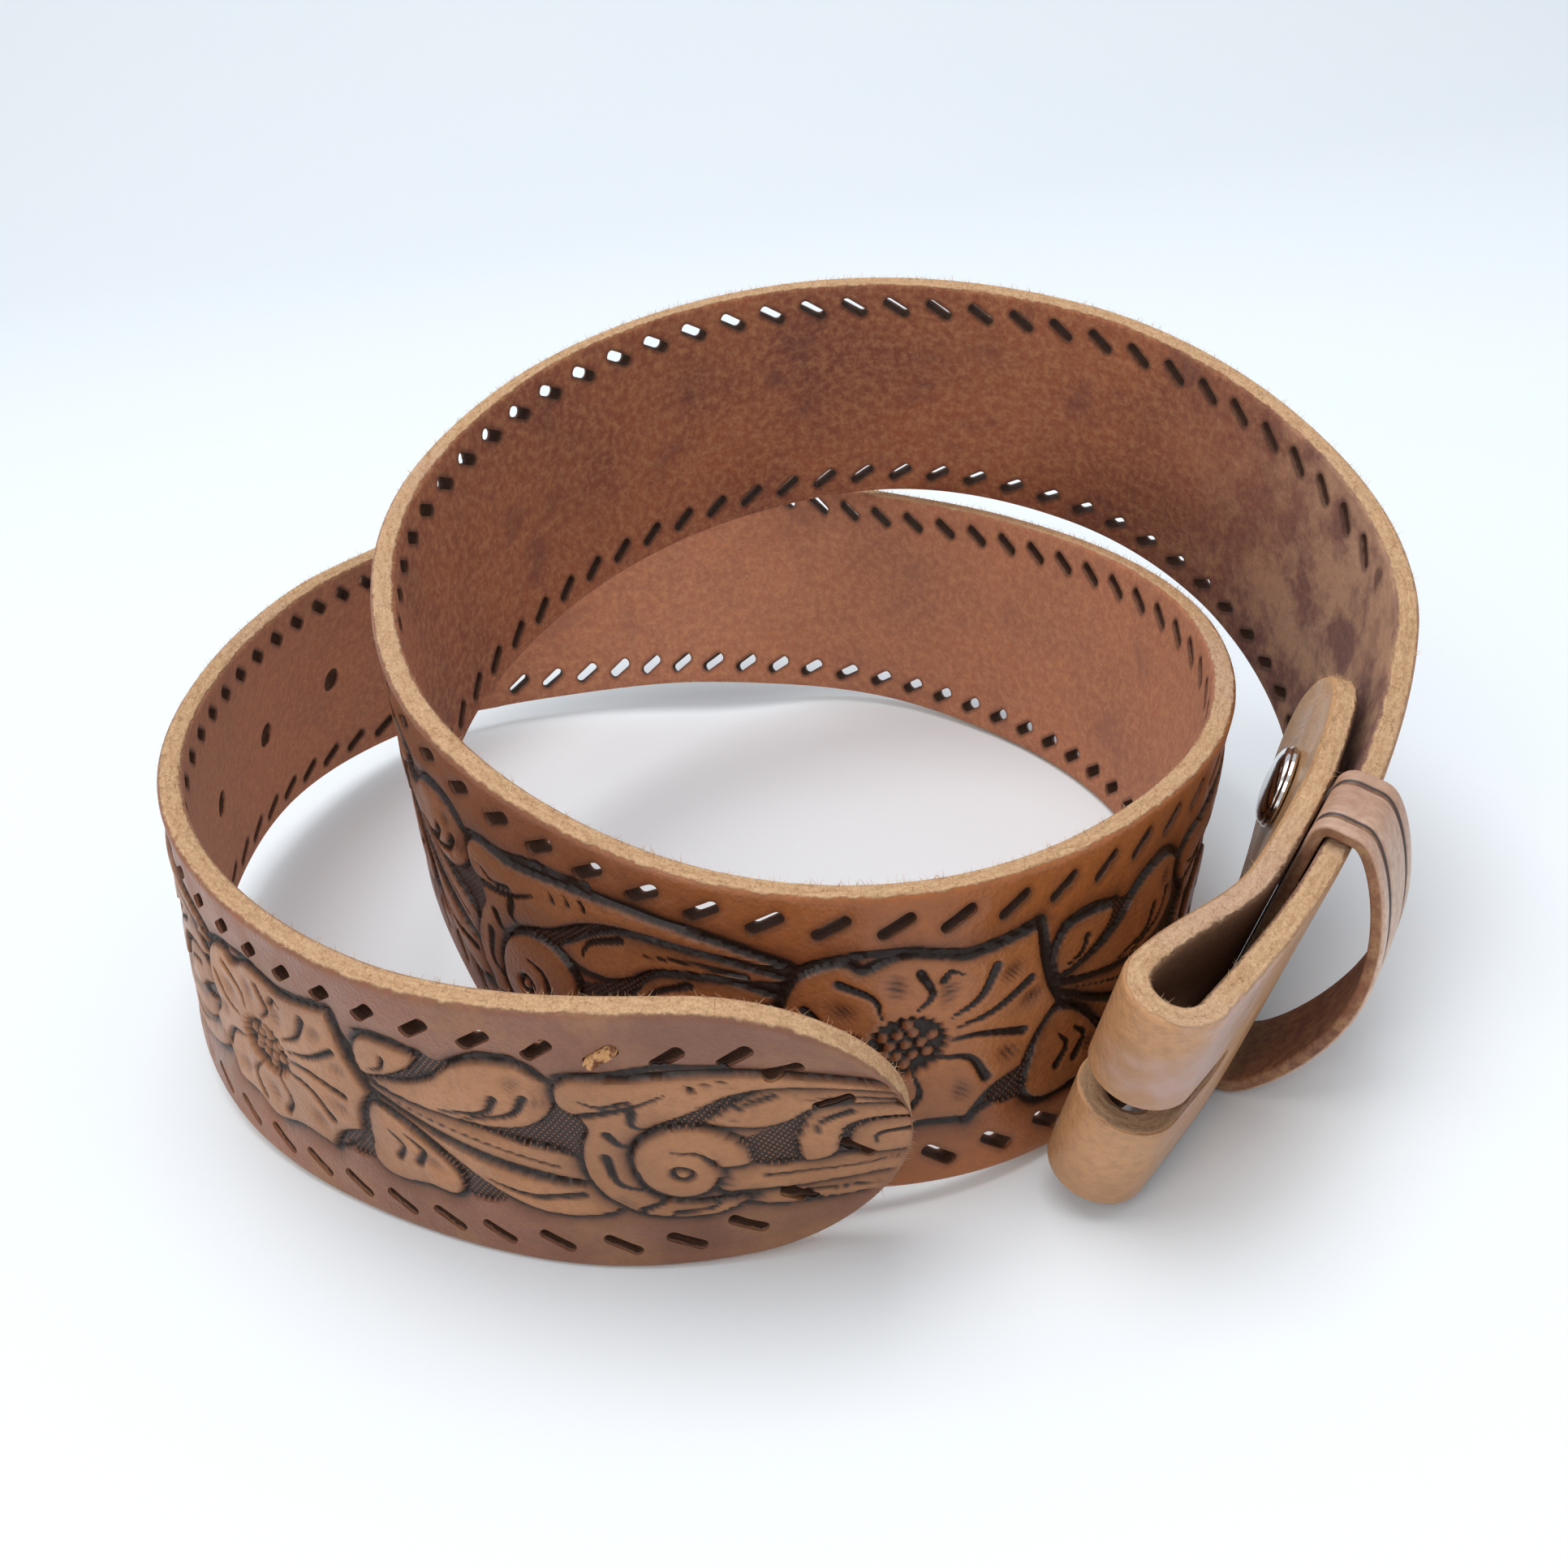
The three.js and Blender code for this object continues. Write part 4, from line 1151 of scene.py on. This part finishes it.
def punched_strap(step, sizes, material):
    """The flat strap with all its slots and holes cut through."""
    tree = punch_tree()
    tools = bmesh.new()
    slot_size = (sizes.slot_length, sizes.slot_width, sizes.slot_width * 0.42)
    hole = sizes.hole_diameter
    prong = ((2 * PRONG_REACH + FOLD_ARC) * MM, PRONG_WIDTH * MM, PRONG_WIDTH * MM * 0.48)
    shank = 2 * (SHANK_RADIUS + CLEARANCE) * MM
    rivets = [(RUN_LENGTH - SNAP_FROM_FOLD, 0, 0), (RUN_LENGTH + FOLD_ARC + SNAP_FROM_FOLD, 0, 0)]
    for places, size in [
        (slot_places(sizes.slot_pitch / MM), slot_size),
        (hole_places(), (hole, hole, hole * 0.49)),
        ([(RUN_LENGTH + FOLD_ARC / 2, 0, 0)], prong),
        (rivets, (shank, shank, shank * 0.49)),
    ]:
        punch = punches(tree, material, places, *size)
        if size is prong:
            slice_across(punch, RUN_LENGTH - PRONG_REACH + 1, RUN_LENGTH + FOLD_ARC + PRONG_REACH)
        tools.from_mesh(punch)
    tool_mesh = bpy.data.meshes.new("punch tools")
    tools.to_mesh(tool_mesh)
    tools.free()
    tool = linked("punch tools", tool_mesh)
    blank = linked("flat strap", flat_strap(step, sizes.edge_round / MM))
    cut = blank.modifiers.new("punch", "BOOLEAN")
    cut.operation = "DIFFERENCE"
    cut.solver = "MANIFOLD"
    cut.object = tool
    made = plain_mesh(blank)
    bpy.data.objects.remove(blank)
    bpy.data.objects.remove(tool)
    return made


def slot_pucker(along, across, pitch):
    """How far the grain is drawn down round the slots, as a share."""
    nearest_slot = np.round((along - SLOT_START) / pitch) * pitch + SLOT_START
    run = along - nearest_slot
    side = np.abs(across) - (half_width(along) - SLOT_INSET)
    slant = math.radians(SLOT_SLANT)
    long_way = run * math.cos(slant) - side * math.sin(slant)
    short_way = run * math.sin(slant) + side * math.cos(slant)
    past = np.maximum(np.abs(long_way) - 2.0, 0)
    gap = np.hypot(past, short_way)
    return np.exp(-((gap / 1.5) ** 2)) * (along < RUN_LENGTH - BUCKLE_END - 4) * (along > 118)


STRAP_VALUES = ("flat", "stain", "matting", "raised", "within")


def split_lengthwise(whole, cuts):
    """Parts of a mesh between places along its flat length, with the whole mesh's normals."""
    places, corners, totals = mesh_arrays(whole)
    flat = np.empty(len(whole.vertices) * 3, np.float32)
    whole.attributes["flat"].data.foreach_get("vector", flat)
    along = flat.reshape(-1, 3)[:, 0] / MM
    normals = np.empty(len(whole.loops) * 3, np.float32)
    whole.corner_normals.foreach_get("vector", normals)
    normals = normals.reshape(-1, 3)
    starts = np.concatenate([[0], np.cumsum(totals)[:-1]])
    face_along = np.add.reduceat(along[corners], starts) / totals
    face_of_corner = np.repeat(np.arange(len(totals)), totals)
    layers = [layer.name for layer in whole.attributes
              if layer.domain == "POINT" and layer.name in STRAP_VALUES]
    parts = []
    for low, high in zip(cuts, cuts[1:]):
        chosen = (face_along >= low) & (face_along < high)
        keep = chosen[face_of_corner]
        used, renumbered = np.unique(corners[keep], return_inverse=True)
        part = mesh_from_arrays("strap part", places[used], renumbered, totals[chosen])
        for name in layers:
            source = whole.attributes[name]
            size = 3 if name == "flat" else 1
            values = np.empty(len(whole.vertices) * size, np.float32)
            source.data.foreach_get("vector" if size == 3 else "value", values)
            values = values.reshape(-1, size) if size == 3 else values
            add_values(part, name, values[used])
        part.shade_smooth()
        part.normals_split_custom_set(normals[keep].tolist())
        parts.append(part)
    return parts


class BELT_OT_strap(bpy.types.Operator):
    """Cuts, punches, carves and rolls up the strap"""

    bl_idname = "belt.strap"
    bl_label = "Make the strap"

    def execute(self, context):
        sizes = context.scene.belt_sizes
        colours = context.scene.belt_colours
        step = sizes.carving_step / MM * 1
        material = strap_material(colours, shared_groups())
        flat_mesh = punched_strap(step, sizes, material)
        places, corners, totals = mesh_arrays(flat_mesh)
        along, across, out = (places[:, axis].astype(float) / MM for axis in range(3))
        carving = Carving()
        share = carved_share(along, across)
        on_grain = np.clip((out - LEATHER / 2 + 0.5) / 0.5, 0, 1)
        relief = carving.read(carving.relief, along, across) * share
        relief -= 0.28 * slot_pucker(along, across, sizes.slot_pitch / MM)
        depth = sizes.carving_depth / MM
        rolled = path.roll_up(along, across, out + relief * depth * on_grain)
        whole = mesh_from_arrays("strap", placed(rolled), corners, totals)
        add_values(whole, "flat", places)
        for name in ("stain", "matting", "raised"):
            values = carving.read(getattr(carving, name), along, across) * share * on_grain
            add_values(whole, name, values)
        within = np.clip((half_width(along) - np.abs(across) - 1.1) / 0.4, 0, 1)
        within = np.maximum(within, np.abs(across) < 4)
        within = within * np.where(along > RUN_LENGTH - 30, 0.45, 1) * (along > TIP_START + 1)
        add_values(whole, "within", within * (along < FLAT_LENGTH - 1))
        smooth_with_creases(whole, 48)
        cuts = [-1, 190, 380, 570, 760, 935, FLAT_LENGTH + 1]
        names = ["strap_tip", "strap_holes", "strap_front", "strap_rise", "strap_back",
                 "strap_buckle_end"]
        for name, part in zip(names, split_lengthwise(whole, cuts)):
            part.name = name
            finish_piece(linked(name, part), material, "strap")
        bpy.data.meshes.remove(whole)
        return {"FINISHED"}


# Loose fibres on the raw edges. The density is in fibres per square metre.

FIBRE_DENSITY = 4.2e6
FIBRE_THICKNESS = 0.032
FIBRE_LEAN = 1.1
FIBRE_SEED = 7
FIBRE_CLEAR = 9


def fuzz_tree():
    """Sets short tapered fibres on a guide surface, leaning at random."""
    tree = bpy.data.node_groups.new("edge fibres", "GeometryNodeTree")
    tree.interface.new_socket("Guide", in_out="INPUT", socket_type="NodeSocketGeometry")
    for label in ("Density", "Length", "Thickness", "Lean"):
        tree.interface.new_socket(label, in_out="INPUT", socket_type="NodeSocketFloat")
    tree.interface.new_socket("Seed", in_out="INPUT", socket_type="NodeSocketInt")
    tree.interface.new_socket("Material", in_out="INPUT", socket_type="NodeSocketMaterial")
    tree.interface.new_socket("Fibres", in_out="OUTPUT", socket_type="NodeSocketGeometry")
    t = Tree(tree)
    given = tree.nodes.new("NodeGroupInput").outputs
    roots = t.node("GeometryNodeDistributePointsOnFaces",
                   {"Mesh": given["Guide"], "Density": given["Density"], "Seed": given["Seed"]})
    fibre = t.node("GeometryNodeMeshCone", {"Vertices": 3, "Radius Top": 0.000003,
                                            "Radius Bottom": given["Thickness"],
                                            "Depth": given["Length"]})
    lean_down = t.math("MULTIPLY", given["Lean"], -1.0)
    lean = t.node("FunctionNodeRandomValue", data_type="FLOAT_VECTOR")
    t.feed(lean.inputs[0], t.node("ShaderNodeCombineXYZ", {0: lean_down, 1: lean_down,
                                                           2: -3.0}).outputs[0])
    t.feed(lean.inputs[1], t.node("ShaderNodeCombineXYZ", {0: given["Lean"], 1: given["Lean"],
                                                           2: 3.0}).outputs[0])
    t.feed(lean.inputs["Seed"], given["Seed"])
    turn = t.node("FunctionNodeRotateRotation", {0: roots.outputs["Rotation"],
                                                 1: lean.outputs[0]}, rotation_space="LOCAL")
    size = t.node("FunctionNodeRandomValue", {2: 0.35, 3: 1.3}, data_type="FLOAT")
    t.feed(size.inputs["Seed"], given["Seed"])
    fibres = t.node("GeometryNodeInstanceOnPoints",
                    {"Points": roots.outputs[0], "Instance": fibre.outputs[0],
                     "Rotation": turn.outputs[0], "Scale": size.outputs[1]})
    real = t.node("GeometryNodeRealizeInstances", {"Geometry": fibres.outputs[0]})
    painted = t.node("GeometryNodeSetMaterial", {"Geometry": real.outputs[0],
                                                 "Material": given["Material"]})
    result = tree.nodes.new("NodeGroupOutput")
    t.feed(result.inputs[0], painted.outputs[0])
    return tree


def edge_guide():
    """Ribbons on the raw edges that carry the fibres, clear of the keeper."""
    mesh = bpy.data.meshes.new("edge guide")
    keeper_run = RUN_LENGTH - KEEPER_FROM_FOLD
    keeper_flap = RUN_LENGTH + FOLD_ARC + KEEPER_FROM_FOLD
    spans = [(1, TIP_START + 0.3, keeper_run - FIBRE_CLEAR),
             (1, keeper_run + FIBRE_CLEAR, keeper_flap - FIBRE_CLEAR),
             (1, keeper_flap + FIBRE_CLEAR, FLAT_LENGTH - 0.5), (-1, 22, TIP_START + 0.3),
             (-1, FLAT_LENGTH - 0.5, FLAT_LENGTH - 12)]
    places, faces = [], []
    for edge, first, last in spans:
        along = np.linspace(first, last, max(int(abs(last - first)), 12))
        half = half_width(along)
        sides = [placed(path.roll_up(along, edge * half, np.full_like(along, out)))
                 for out in (1.35, -1.35)]
        start = len(places)
        for grain, flesh in zip(*sides):
            places += [tuple(grain), tuple(flesh)]
        rows = range(start, start + 2 * len(along) - 2, 2)
        faces += [(row, row + 1, row + 3, row + 2) for row in rows]
    mesh.from_pydata(places, [], faces)
    return mesh


def fibre_material():
    """Pale loose fibres."""
    material, t, shader = new_material("raw fibres")
    place = t.node("ShaderNodeTexCoord").outputs["Object"]
    tone = t.between(t.noise(place, 700, 2), 0.35, 0.65)
    t.feed(shader.inputs["Base Color"], t.mix(tone, (0.72, 0.5, 0.28, 1), (0.45, 0.24, 0.11, 1)))
    shader.inputs["Roughness"].default_value = 0.8
    return material


class BELT_OT_fibres(bpy.types.Operator):
    """Sets loose fibres on the raw edges"""

    bl_idname = "belt.fibres"
    bl_label = "Add the edge fibres"

    def execute(self, context):
        sizes = context.scene.belt_sizes
        holder = linked("edge guide", edge_guide())
        modifier = holder.modifiers.new("fibres", "NODES")
        modifier.node_group = fuzz_tree()
        material = fibre_material()
        values = {"Density": FIBRE_DENSITY * 1,
                  "Length": sizes.fibre_length, "Thickness": FIBRE_THICKNESS * MM,
                  "Lean": FIBRE_LEAN, "Seed": FIBRE_SEED, "Material": material}
        for item in modifier.node_group.interface.items_tree:
            if item.name in values and item.in_out == "INPUT":
                modifier[item.identifier] = values[item.name]
        made = plain_mesh(holder)
        bpy.data.objects.remove(holder)
        finish_piece(linked("edge_fibres", made), material, "strap")
        return {"FINISHED"}


# The keeper, threaded between the strap and the flap and slanting down towards the fold

KEEPER_SLACK = 1.0
KEEPER_THREAD = 0.25
KEEPER_SLANT = 12
KEEPER_BULGE = 8
KEEPER_TUCK = 1.1
KEEPER_CORNER = 1.0
GROOVE_INSET = 3
GROOVE_WIDTH = 0.9
GROOVE_DEPTH = 0.5


def bezier(points, steps):
    """Places on a Bezier curve, without its last one."""
    part = (np.arange(steps) / steps)[:, None]
    points = [np.array(point, float) for point in points]
    while len(points) > 1:
        points = [a * (1 - part) + b * part for a, b in zip(points, points[1:])]
    return points[0]


def keeper_outline(middle_height, up_share, wall):
    """The keeper's inner outline as (out, up), seen along the strap."""
    inner = -(LEATHER / 2 + KEEPER_THREAD)
    outer = LEATHER / 2 + KEEPER_SLACK
    top = BUCKLE_WIDTH / 2 + KEEPER_SLACK
    bottom = wall + KEEPER_TUCK - middle_height / up_share
    belly = outer + KEEPER_BULGE
    corner = KEEPER_CORNER
    parts = [
        bezier([(inner, bottom + corner), (inner, top - corner)], 24),
        bezier([(inner, top - corner), (inner, top), (inner + corner, top)], 6),
        bezier([(inner + corner, top), (outer - corner, top)], 8),
        bezier([(outer - corner, top), (outer + corner, top), (belly, top / 2),
                (belly, (top + bottom) / 2)], 30),
        bezier([(belly, (top + bottom) / 2), (belly, bottom / 2), (outer + corner, bottom),
                (outer - corner, bottom)], 30),
        bezier([(outer - corner, bottom), (inner + corner, bottom)], 8),
        bezier([(inner + corner, bottom), (inner, bottom), (inner, bottom + corner)], 6),
    ]
    return np.concatenate(parts)


def keeper_section(width, wall):
    """The band's section as (forward, out from the inner side), rounded at its edges."""
    half = width / 2
    curve = np.radians([0, 30, 60, 90])
    radius = 0.45
    left_low = [(-half + radius - radius * math.sin(a), radius - radius * math.cos(a))
                for a in curve]
    left_top = [(-half + radius - radius * math.cos(a), wall - radius + radius * math.sin(a))
                for a in curve]
    spread = np.linspace(-half + radius, half - radius, 45)[1:-1]
    top = []
    for forward in spread:
        gap = min(abs(forward - groove) for groove in (GROOVE_INSET - half, half - GROOVE_INSET))
        top.append((forward, wall - GROOVE_DEPTH * math.exp(-((gap / (GROOVE_WIDTH / 2)) ** 2))))
    right_top = [(-f, w) for f, w in left_top[::-1]]
    right_low = [(-f, w) for f, w in left_low[::-1]]
    inner = [(forward, 0) for forward in np.linspace(half - radius, -half + radius, 14)[1:-1]]
    return np.array(left_low + left_top + top + right_top + right_low + inner)


class BELT_OT_keeper(bpy.types.Operator):
    """Makes the keeper loop round the outer layer of the folded end"""

    bl_idname = "belt.keeper"
    bl_label = "Make the keeper"

    def execute(self, context):
        sizes = context.scene.belt_sizes
        wall = sizes.keeper_wall / MM
        section = keeper_section(sizes.keeper_width / MM, wall)
        along = RUN_LENGTH - KEEPER_FROM_FOLD + section[:, 0]
        middle, _, up, out = path.frames(along + KEEPER_SLANT)
        outlines = np.stack([keeper_outline(middle[i, 2], up[i, 2], wall)
                             for i in range(len(section))], 1)
        top, bottom = outlines[..., 1].max(0), outlines[..., 1].min(0)
        drop = (top - outlines[..., 1]) / (top - bottom)
        middle, _, up, out = path.frames(along + KEEPER_SLANT * drop)
        run = np.roll(outlines, -1, 0) - np.roll(outlines, 1, 0)
        run /= np.linalg.norm(run, axis=-1, keepdims=True)
        thick = section[None, :, 1]
        outward = outlines[..., 0] - run[..., 1] * thick
        upward = outlines[..., 1] + run[..., 0] * thick
        rings = middle + up * upward[..., None] + out * outward[..., None]
        mesh = ring_mesh("keeper", placed(rings), closed_row=True)
        girth = np.cumsum(np.linalg.norm(np.diff(outlines[:, 0], axis=0, prepend=outlines[:1, 0]),
                                         axis=-1))
        flat = np.stack(np.broadcast_arrays(girth[:, None], section[None, :, 0], thick), -1) * MM
        add_values(mesh, "flat", flat.reshape(-1, 3))
        half = sizes.keeper_width / MM / 2
        gap = np.abs(np.abs(section[:, 0]) - (half - GROOVE_INSET))
        groove = np.exp(-((gap / (GROOVE_WIDTH / 2)) ** 2)) * (section[:, 1] > wall / 2)
        add_values(mesh, "groove", np.broadcast_to(groove, flat.shape[:2]).ravel())
        add_values(mesh, "wall", np.broadcast_to(section[:, 1] / wall, flat.shape[:2]).ravel())
        work = bmesh.new()
        work.from_mesh(mesh)
        bmesh.ops.recalc_face_normals(work, faces=work.faces)
        work.to_mesh(mesh)
        work.free()
        smooth_with_creases(mesh, 50)
        material = keeper_material(context.scene.belt_colours, shared_groups())
        finish_piece(linked("keeper_loop", mesh), material, "keeper")
        return {"FINISHED"}


# The snap and the lace

SHANK_RADIUS = 2.0
HEAD_RADIUS = 4.5
HEAD_THICKNESS = 0.9
CAP_HEIGHT = 2.6
CLEARANCE = 0.3


def turned(name, profile, frame_parts, steps=64):
    """A solid turned about the way out of a frame, from radius and height pairs."""
    middle, forward, up, out = frame_parts
    angle = np.linspace(0, 2 * math.pi, steps, endpoint=False)[:, None]
    radius = np.array([max(pair[0], 0.02) for pair in profile])[None, :]
    height = np.array([pair[1] for pair in profile])[None, :]
    side = (np.cos(angle) * radius)[..., None] * forward
    rise = (np.sin(angle) * radius)[..., None] * up
    rings = middle + side + rise + np.broadcast_to(height, (steps, len(profile)))[..., None] * out
    rings = np.swapaxes(rings, 0, 1)
    mesh = ring_mesh(name, placed(rings))
    work = bmesh.new()
    work.from_mesh(mesh)
    bmesh.ops.recalc_face_normals(work, faces=work.faces)
    work.to_mesh(mesh)
    work.free()
    smooth_with_creases(mesh, 35)
    return linked(name, mesh)


def flap_frame(back):
    """The frame on the flap, at a distance back from the fold."""
    middle, forward, up, out = (part[0] for part in path.frames(np.array([RUN_LENGTH - back])))
    ease = min(back / FOLD_EASE, 1)
    ease = ease * ease * (3 - 2 * ease)
    gap = 2 * FOLD_RADIUS + (LEATHER + FLAP_GAP - 2 * FOLD_RADIUS) * ease
    return middle - out * gap, -forward, up, -out


class BELT_OT_snap(bpy.types.Operator):
    """Makes the snap's polished cap and its post"""

    bl_idname = "belt.snap"
    bl_label = "Make the snap"

    def execute(self, context):
        radius = context.scene.belt_sizes.cap_diameter / MM / 2
        seat = LEATHER / 2 + CLEARANCE
        cap = [(0, -seat), (SHANK_RADIUS, -seat), (SHANK_RADIUS, seat), (radius - 0.6, seat),
               (radius - 0.2, seat + 0.1), (radius, seat + 0.45), (radius - 0.1, seat + 0.85),
               (radius - 0.45, seat + 1.15)]
        flat_top = 0.36
        for step in range(1, 13):
            angle = step / 12 * math.pi / 2
            reach = flat_top + (1 - flat_top) * math.cos(angle)
            cap.append(((radius - 0.45) * reach, seat + 1.15 + (CAP_HEIGHT - 1.15) * math.sin(angle)))
        cap.append((0, seat + CAP_HEIGHT))
        polished = metal_material("polished nickel", (0.78, 0.77, 0.76, 1), 0.06, 0.2)
        plain = metal_material("plain nickel", (0.62, 0.6, 0.57, 1), 0.25, 0.42)
        finish_piece(turned("cap", cap, flap_frame(SNAP_FROM_FOLD)), polished, "snap_cap")
        base = [part[0] for part in path.frames(np.array([RUN_LENGTH - SNAP_FROM_FOLD]))]
        top = seat + HEAD_THICKNESS
        post = [(0, -top), (HEAD_RADIUS - 0.3, -top), (HEAD_RADIUS, -top + 0.3),
                (HEAD_RADIUS, -seat), (SHANK_RADIUS, -seat), (SHANK_RADIUS, seat),
                (HEAD_RADIUS, seat), (HEAD_RADIUS, top - 0.35), (HEAD_RADIUS - 0.15, top - 0.1),
                (HEAD_RADIUS - 0.5, top), (1.6, top), (1.3, top - 0.3), (0, top - 0.35)]
        finish_piece(turned("post", post, base), plain, "snap_post")
        return {"FINISHED"}


class BELT_OT_lace(bpy.types.Operator):
    """Makes the scrap of lace caught in one slot of the upper row"""

    bl_idname = "belt.lace"
    bl_label = "Make the lace remnant"

    def execute(self, context):
        sizes = context.scene.belt_sizes
        along = SLOT_START + 2 * sizes.slot_pitch / MM
        middle, forward, up, out = (part[0] for part in path.frames(np.array([along])))
        work = bmesh.new()
        bmesh.ops.create_cube(work, size=1)
        bmesh.ops.subdivide_edges(work, edges=work.edges, cuts=9, use_grid_fill=True)
        slant = math.radians(SLOT_SLANT)
        run = forward * math.cos(slant) - up * math.sin(slant)
        rise = forward * math.sin(slant) + up * math.cos(slant)
        length = sizes.slot_length / MM - 0.3
        width = sizes.slot_width / MM - 0.2
        raise_up = float(slot_across(along, 1))
        for vertex in work.verts:
            x, y, z = vertex.co
            wave = 0.22 * math.sin(9 * x + 5 * y) + 0.16 * math.sin(17 * x - 11 * y + 6 * z)
            end = 1 - 0.45 * (2 * abs(x)) ** 4
            place = (middle + up * raise_up + run * x * length + rise * y * width * end
                     + out * (z * (LEATHER + 0.4) + wave))
            vertex.co = Vector(placed(place))
        bmesh.ops.recalc_face_normals(work, faces=work.faces)
        mesh = bpy.data.meshes.new("lace scrap")
        work.to_mesh(mesh)
        work.free()
        smooth_with_creases(mesh, 60)
        finish_piece(linked("lace_scrap", mesh), lace_material(), "lace_remnant")
        return {"FINISHED"}


# The stage

CAMERA_PLACE = (4.25, -242.15, 146.48)
CAMERA_TILT = 27.4
CAMERA_ROLL = 6.51
PHOTO_SIDE = 1932
FOCAL_PIXELS = 1987
SENSOR = 36
SWEEP_START = 0.8
SWEEP_RADIUS = 0.9


def soft_light(name, place, target, size, power, colour):
    """A square soft light at a place, turned to a target."""
    data = bpy.data.lights.new(name, "AREA")
    data.size = size
    data.energy = power
    data.color = colour
    lamp = bpy.data.objects.new(name, data)
    lamp.location = place
    lamp.rotation_euler = (Vector(target) - Vector(place)).to_track_quat("-Z", "Y").to_euler()
    bpy.context.scene.collection.objects.link(lamp)


def swept_floor():
    """A floor that curves up into a wall behind the belt."""
    angle = np.radians(np.linspace(0, 90, 25))
    profile = [(-3.0, 0.0)] + [(SWEEP_START + SWEEP_RADIUS * math.sin(a),
                                SWEEP_RADIUS * (1 - math.cos(a))) for a in angle]
    profile.append((profile[-1][0], 3.0))
    places = [(x, y, z) for y, z in profile for x in (-4.0, 4.0)]
    corners = [index for row in range(len(profile) - 1)
               for index in (2 * row, 2 * row + 1, 2 * row + 3, 2 * row + 2)]
    mesh = mesh_from_arrays("floor", places, corners, [4] * (len(profile) - 1))
    mesh.shade_smooth()
    return mesh


class BELT_OT_stage(bpy.types.Operator):
    """Sets the pale floor, the soft lights and the camera"""

    bl_idname = "belt.stage"
    bl_label = "Set the stage"

    def execute(self, context):
        scene = context.scene
        floor = linked("floor", swept_floor())
        mesh = floor.data
        material, t, shader = new_material("pale floor")
        place = t.node("ShaderNodeTexCoord").outputs["Object"]
        tone = t.between(t.noise(place, 3.0, 2), 0.3, 0.7, 0.0, 0.25)
        colour = t.mix(tone, tuple(scene.belt_colours.floor), (0.9, 0.93, 0.96, 1))
        t.feed(shader.inputs["Base Color"], colour)
        shader.inputs["Roughness"].default_value = 0.45
        mesh.materials.append(material)

        world = bpy.data.worlds.new("studio")
        world.use_nodes = True
        background = world.node_tree.nodes["Background"]
        background.inputs[0].default_value = (0.93, 0.965, 1.0, 1)
        background.inputs[1].default_value = 0.68
        scene.world = world
        scene.view_settings.view_transform = "Standard"
        middle = (0, 0, 0.04)
        soft_light("top light", (-0.15, 0.0, 1.6), middle, 1.1, 13.5, (1.0, 0.99, 0.98))
        soft_light("front light", (-0.6, -1.0, 0.9), middle, 0.6, 3.4, (1.0, 0.97, 0.94))

        data = bpy.data.cameras.new("camera")
        data.sensor_width = SENSOR
        data.lens = SENSOR * FOCAL_PIXELS / PHOTO_SIDE
        data.clip_start = 0.01
        camera = bpy.data.objects.new("camera", data)
        tilt = math.radians(CAMERA_TILT)
        roll = math.radians(CAMERA_ROLL)
        ahead = Vector((0, math.cos(tilt), -math.sin(tilt)))
        right = Vector((1, 0, 0))
        down = Vector((0, -math.sin(tilt), -math.cos(tilt)))
        turned_right = right * math.cos(roll) + down * math.sin(roll)
        turned_down = down * math.cos(roll) - right * math.sin(roll)
        basis = Matrix((turned_right, -turned_down, -ahead)).transposed()
        camera.matrix_world = Matrix.Translation(Vector(CAMERA_PLACE) * MM) @ basis.to_4x4()
        scene.collection.objects.link(camera)
        scene.camera = camera
        return {"FINISHED"}


_groups = {}


def shared_groups():
    """The leather groups, made once and used by each leather."""
    if not _groups:
        _groups["grain"] = grain_group()
        _groups["flesh"] = flesh_group()
        _groups["edge"] = raw_edge_group()
        _groups["slots"] = slot_shadow_group()
    return _groups


class BELT_PT_panel(bpy.types.Panel):
    """Lists the belt's pieces, sizes and colours"""

    bl_idname = "BELT_PT_panel"
    bl_label = "Tooled belt"
    bl_space_type = "VIEW_3D"
    bl_region_type = "UI"
    bl_category = "Belt"

    def draw(self, context):
        layout = self.layout
        for operator in (BELT_OT_strap, BELT_OT_fibres, BELT_OT_keeper, BELT_OT_snap,
                         BELT_OT_lace, BELT_OT_stage):
            layout.operator(operator.bl_idname)
        for group in (context.scene.belt_sizes, context.scene.belt_colours):
            column = layout.column()
            for name in group.bl_rna.properties.keys():
                if name not in ("rna_type", "name"):
                    column.prop(group, name)


CLASSES = (BeltSizes, BeltColours, BELT_OT_strap, BELT_OT_fibres, BELT_OT_keeper, BELT_OT_snap,
           BELT_OT_lace, BELT_OT_stage, BELT_PT_panel)


def register():
    for made in CLASSES:
        bpy.utils.register_class(made)
    bpy.types.Scene.belt_sizes = bpy.props.PointerProperty(type=BeltSizes)
    bpy.types.Scene.belt_colours = bpy.props.PointerProperty(type=BeltColours)


def unregister():
    del bpy.types.Scene.belt_sizes
    del bpy.types.Scene.belt_colours
    for made in reversed(CLASSES):
        bpy.utils.unregister_class(made)


def main():
    register()
    bpy.ops.belt.stage()
    bpy.ops.belt.strap()
    bpy.ops.belt.fibres()
    bpy.ops.belt.keeper()
    bpy.ops.belt.snap()
    bpy.ops.belt.lace()


if __name__ == "__main__":
    main()
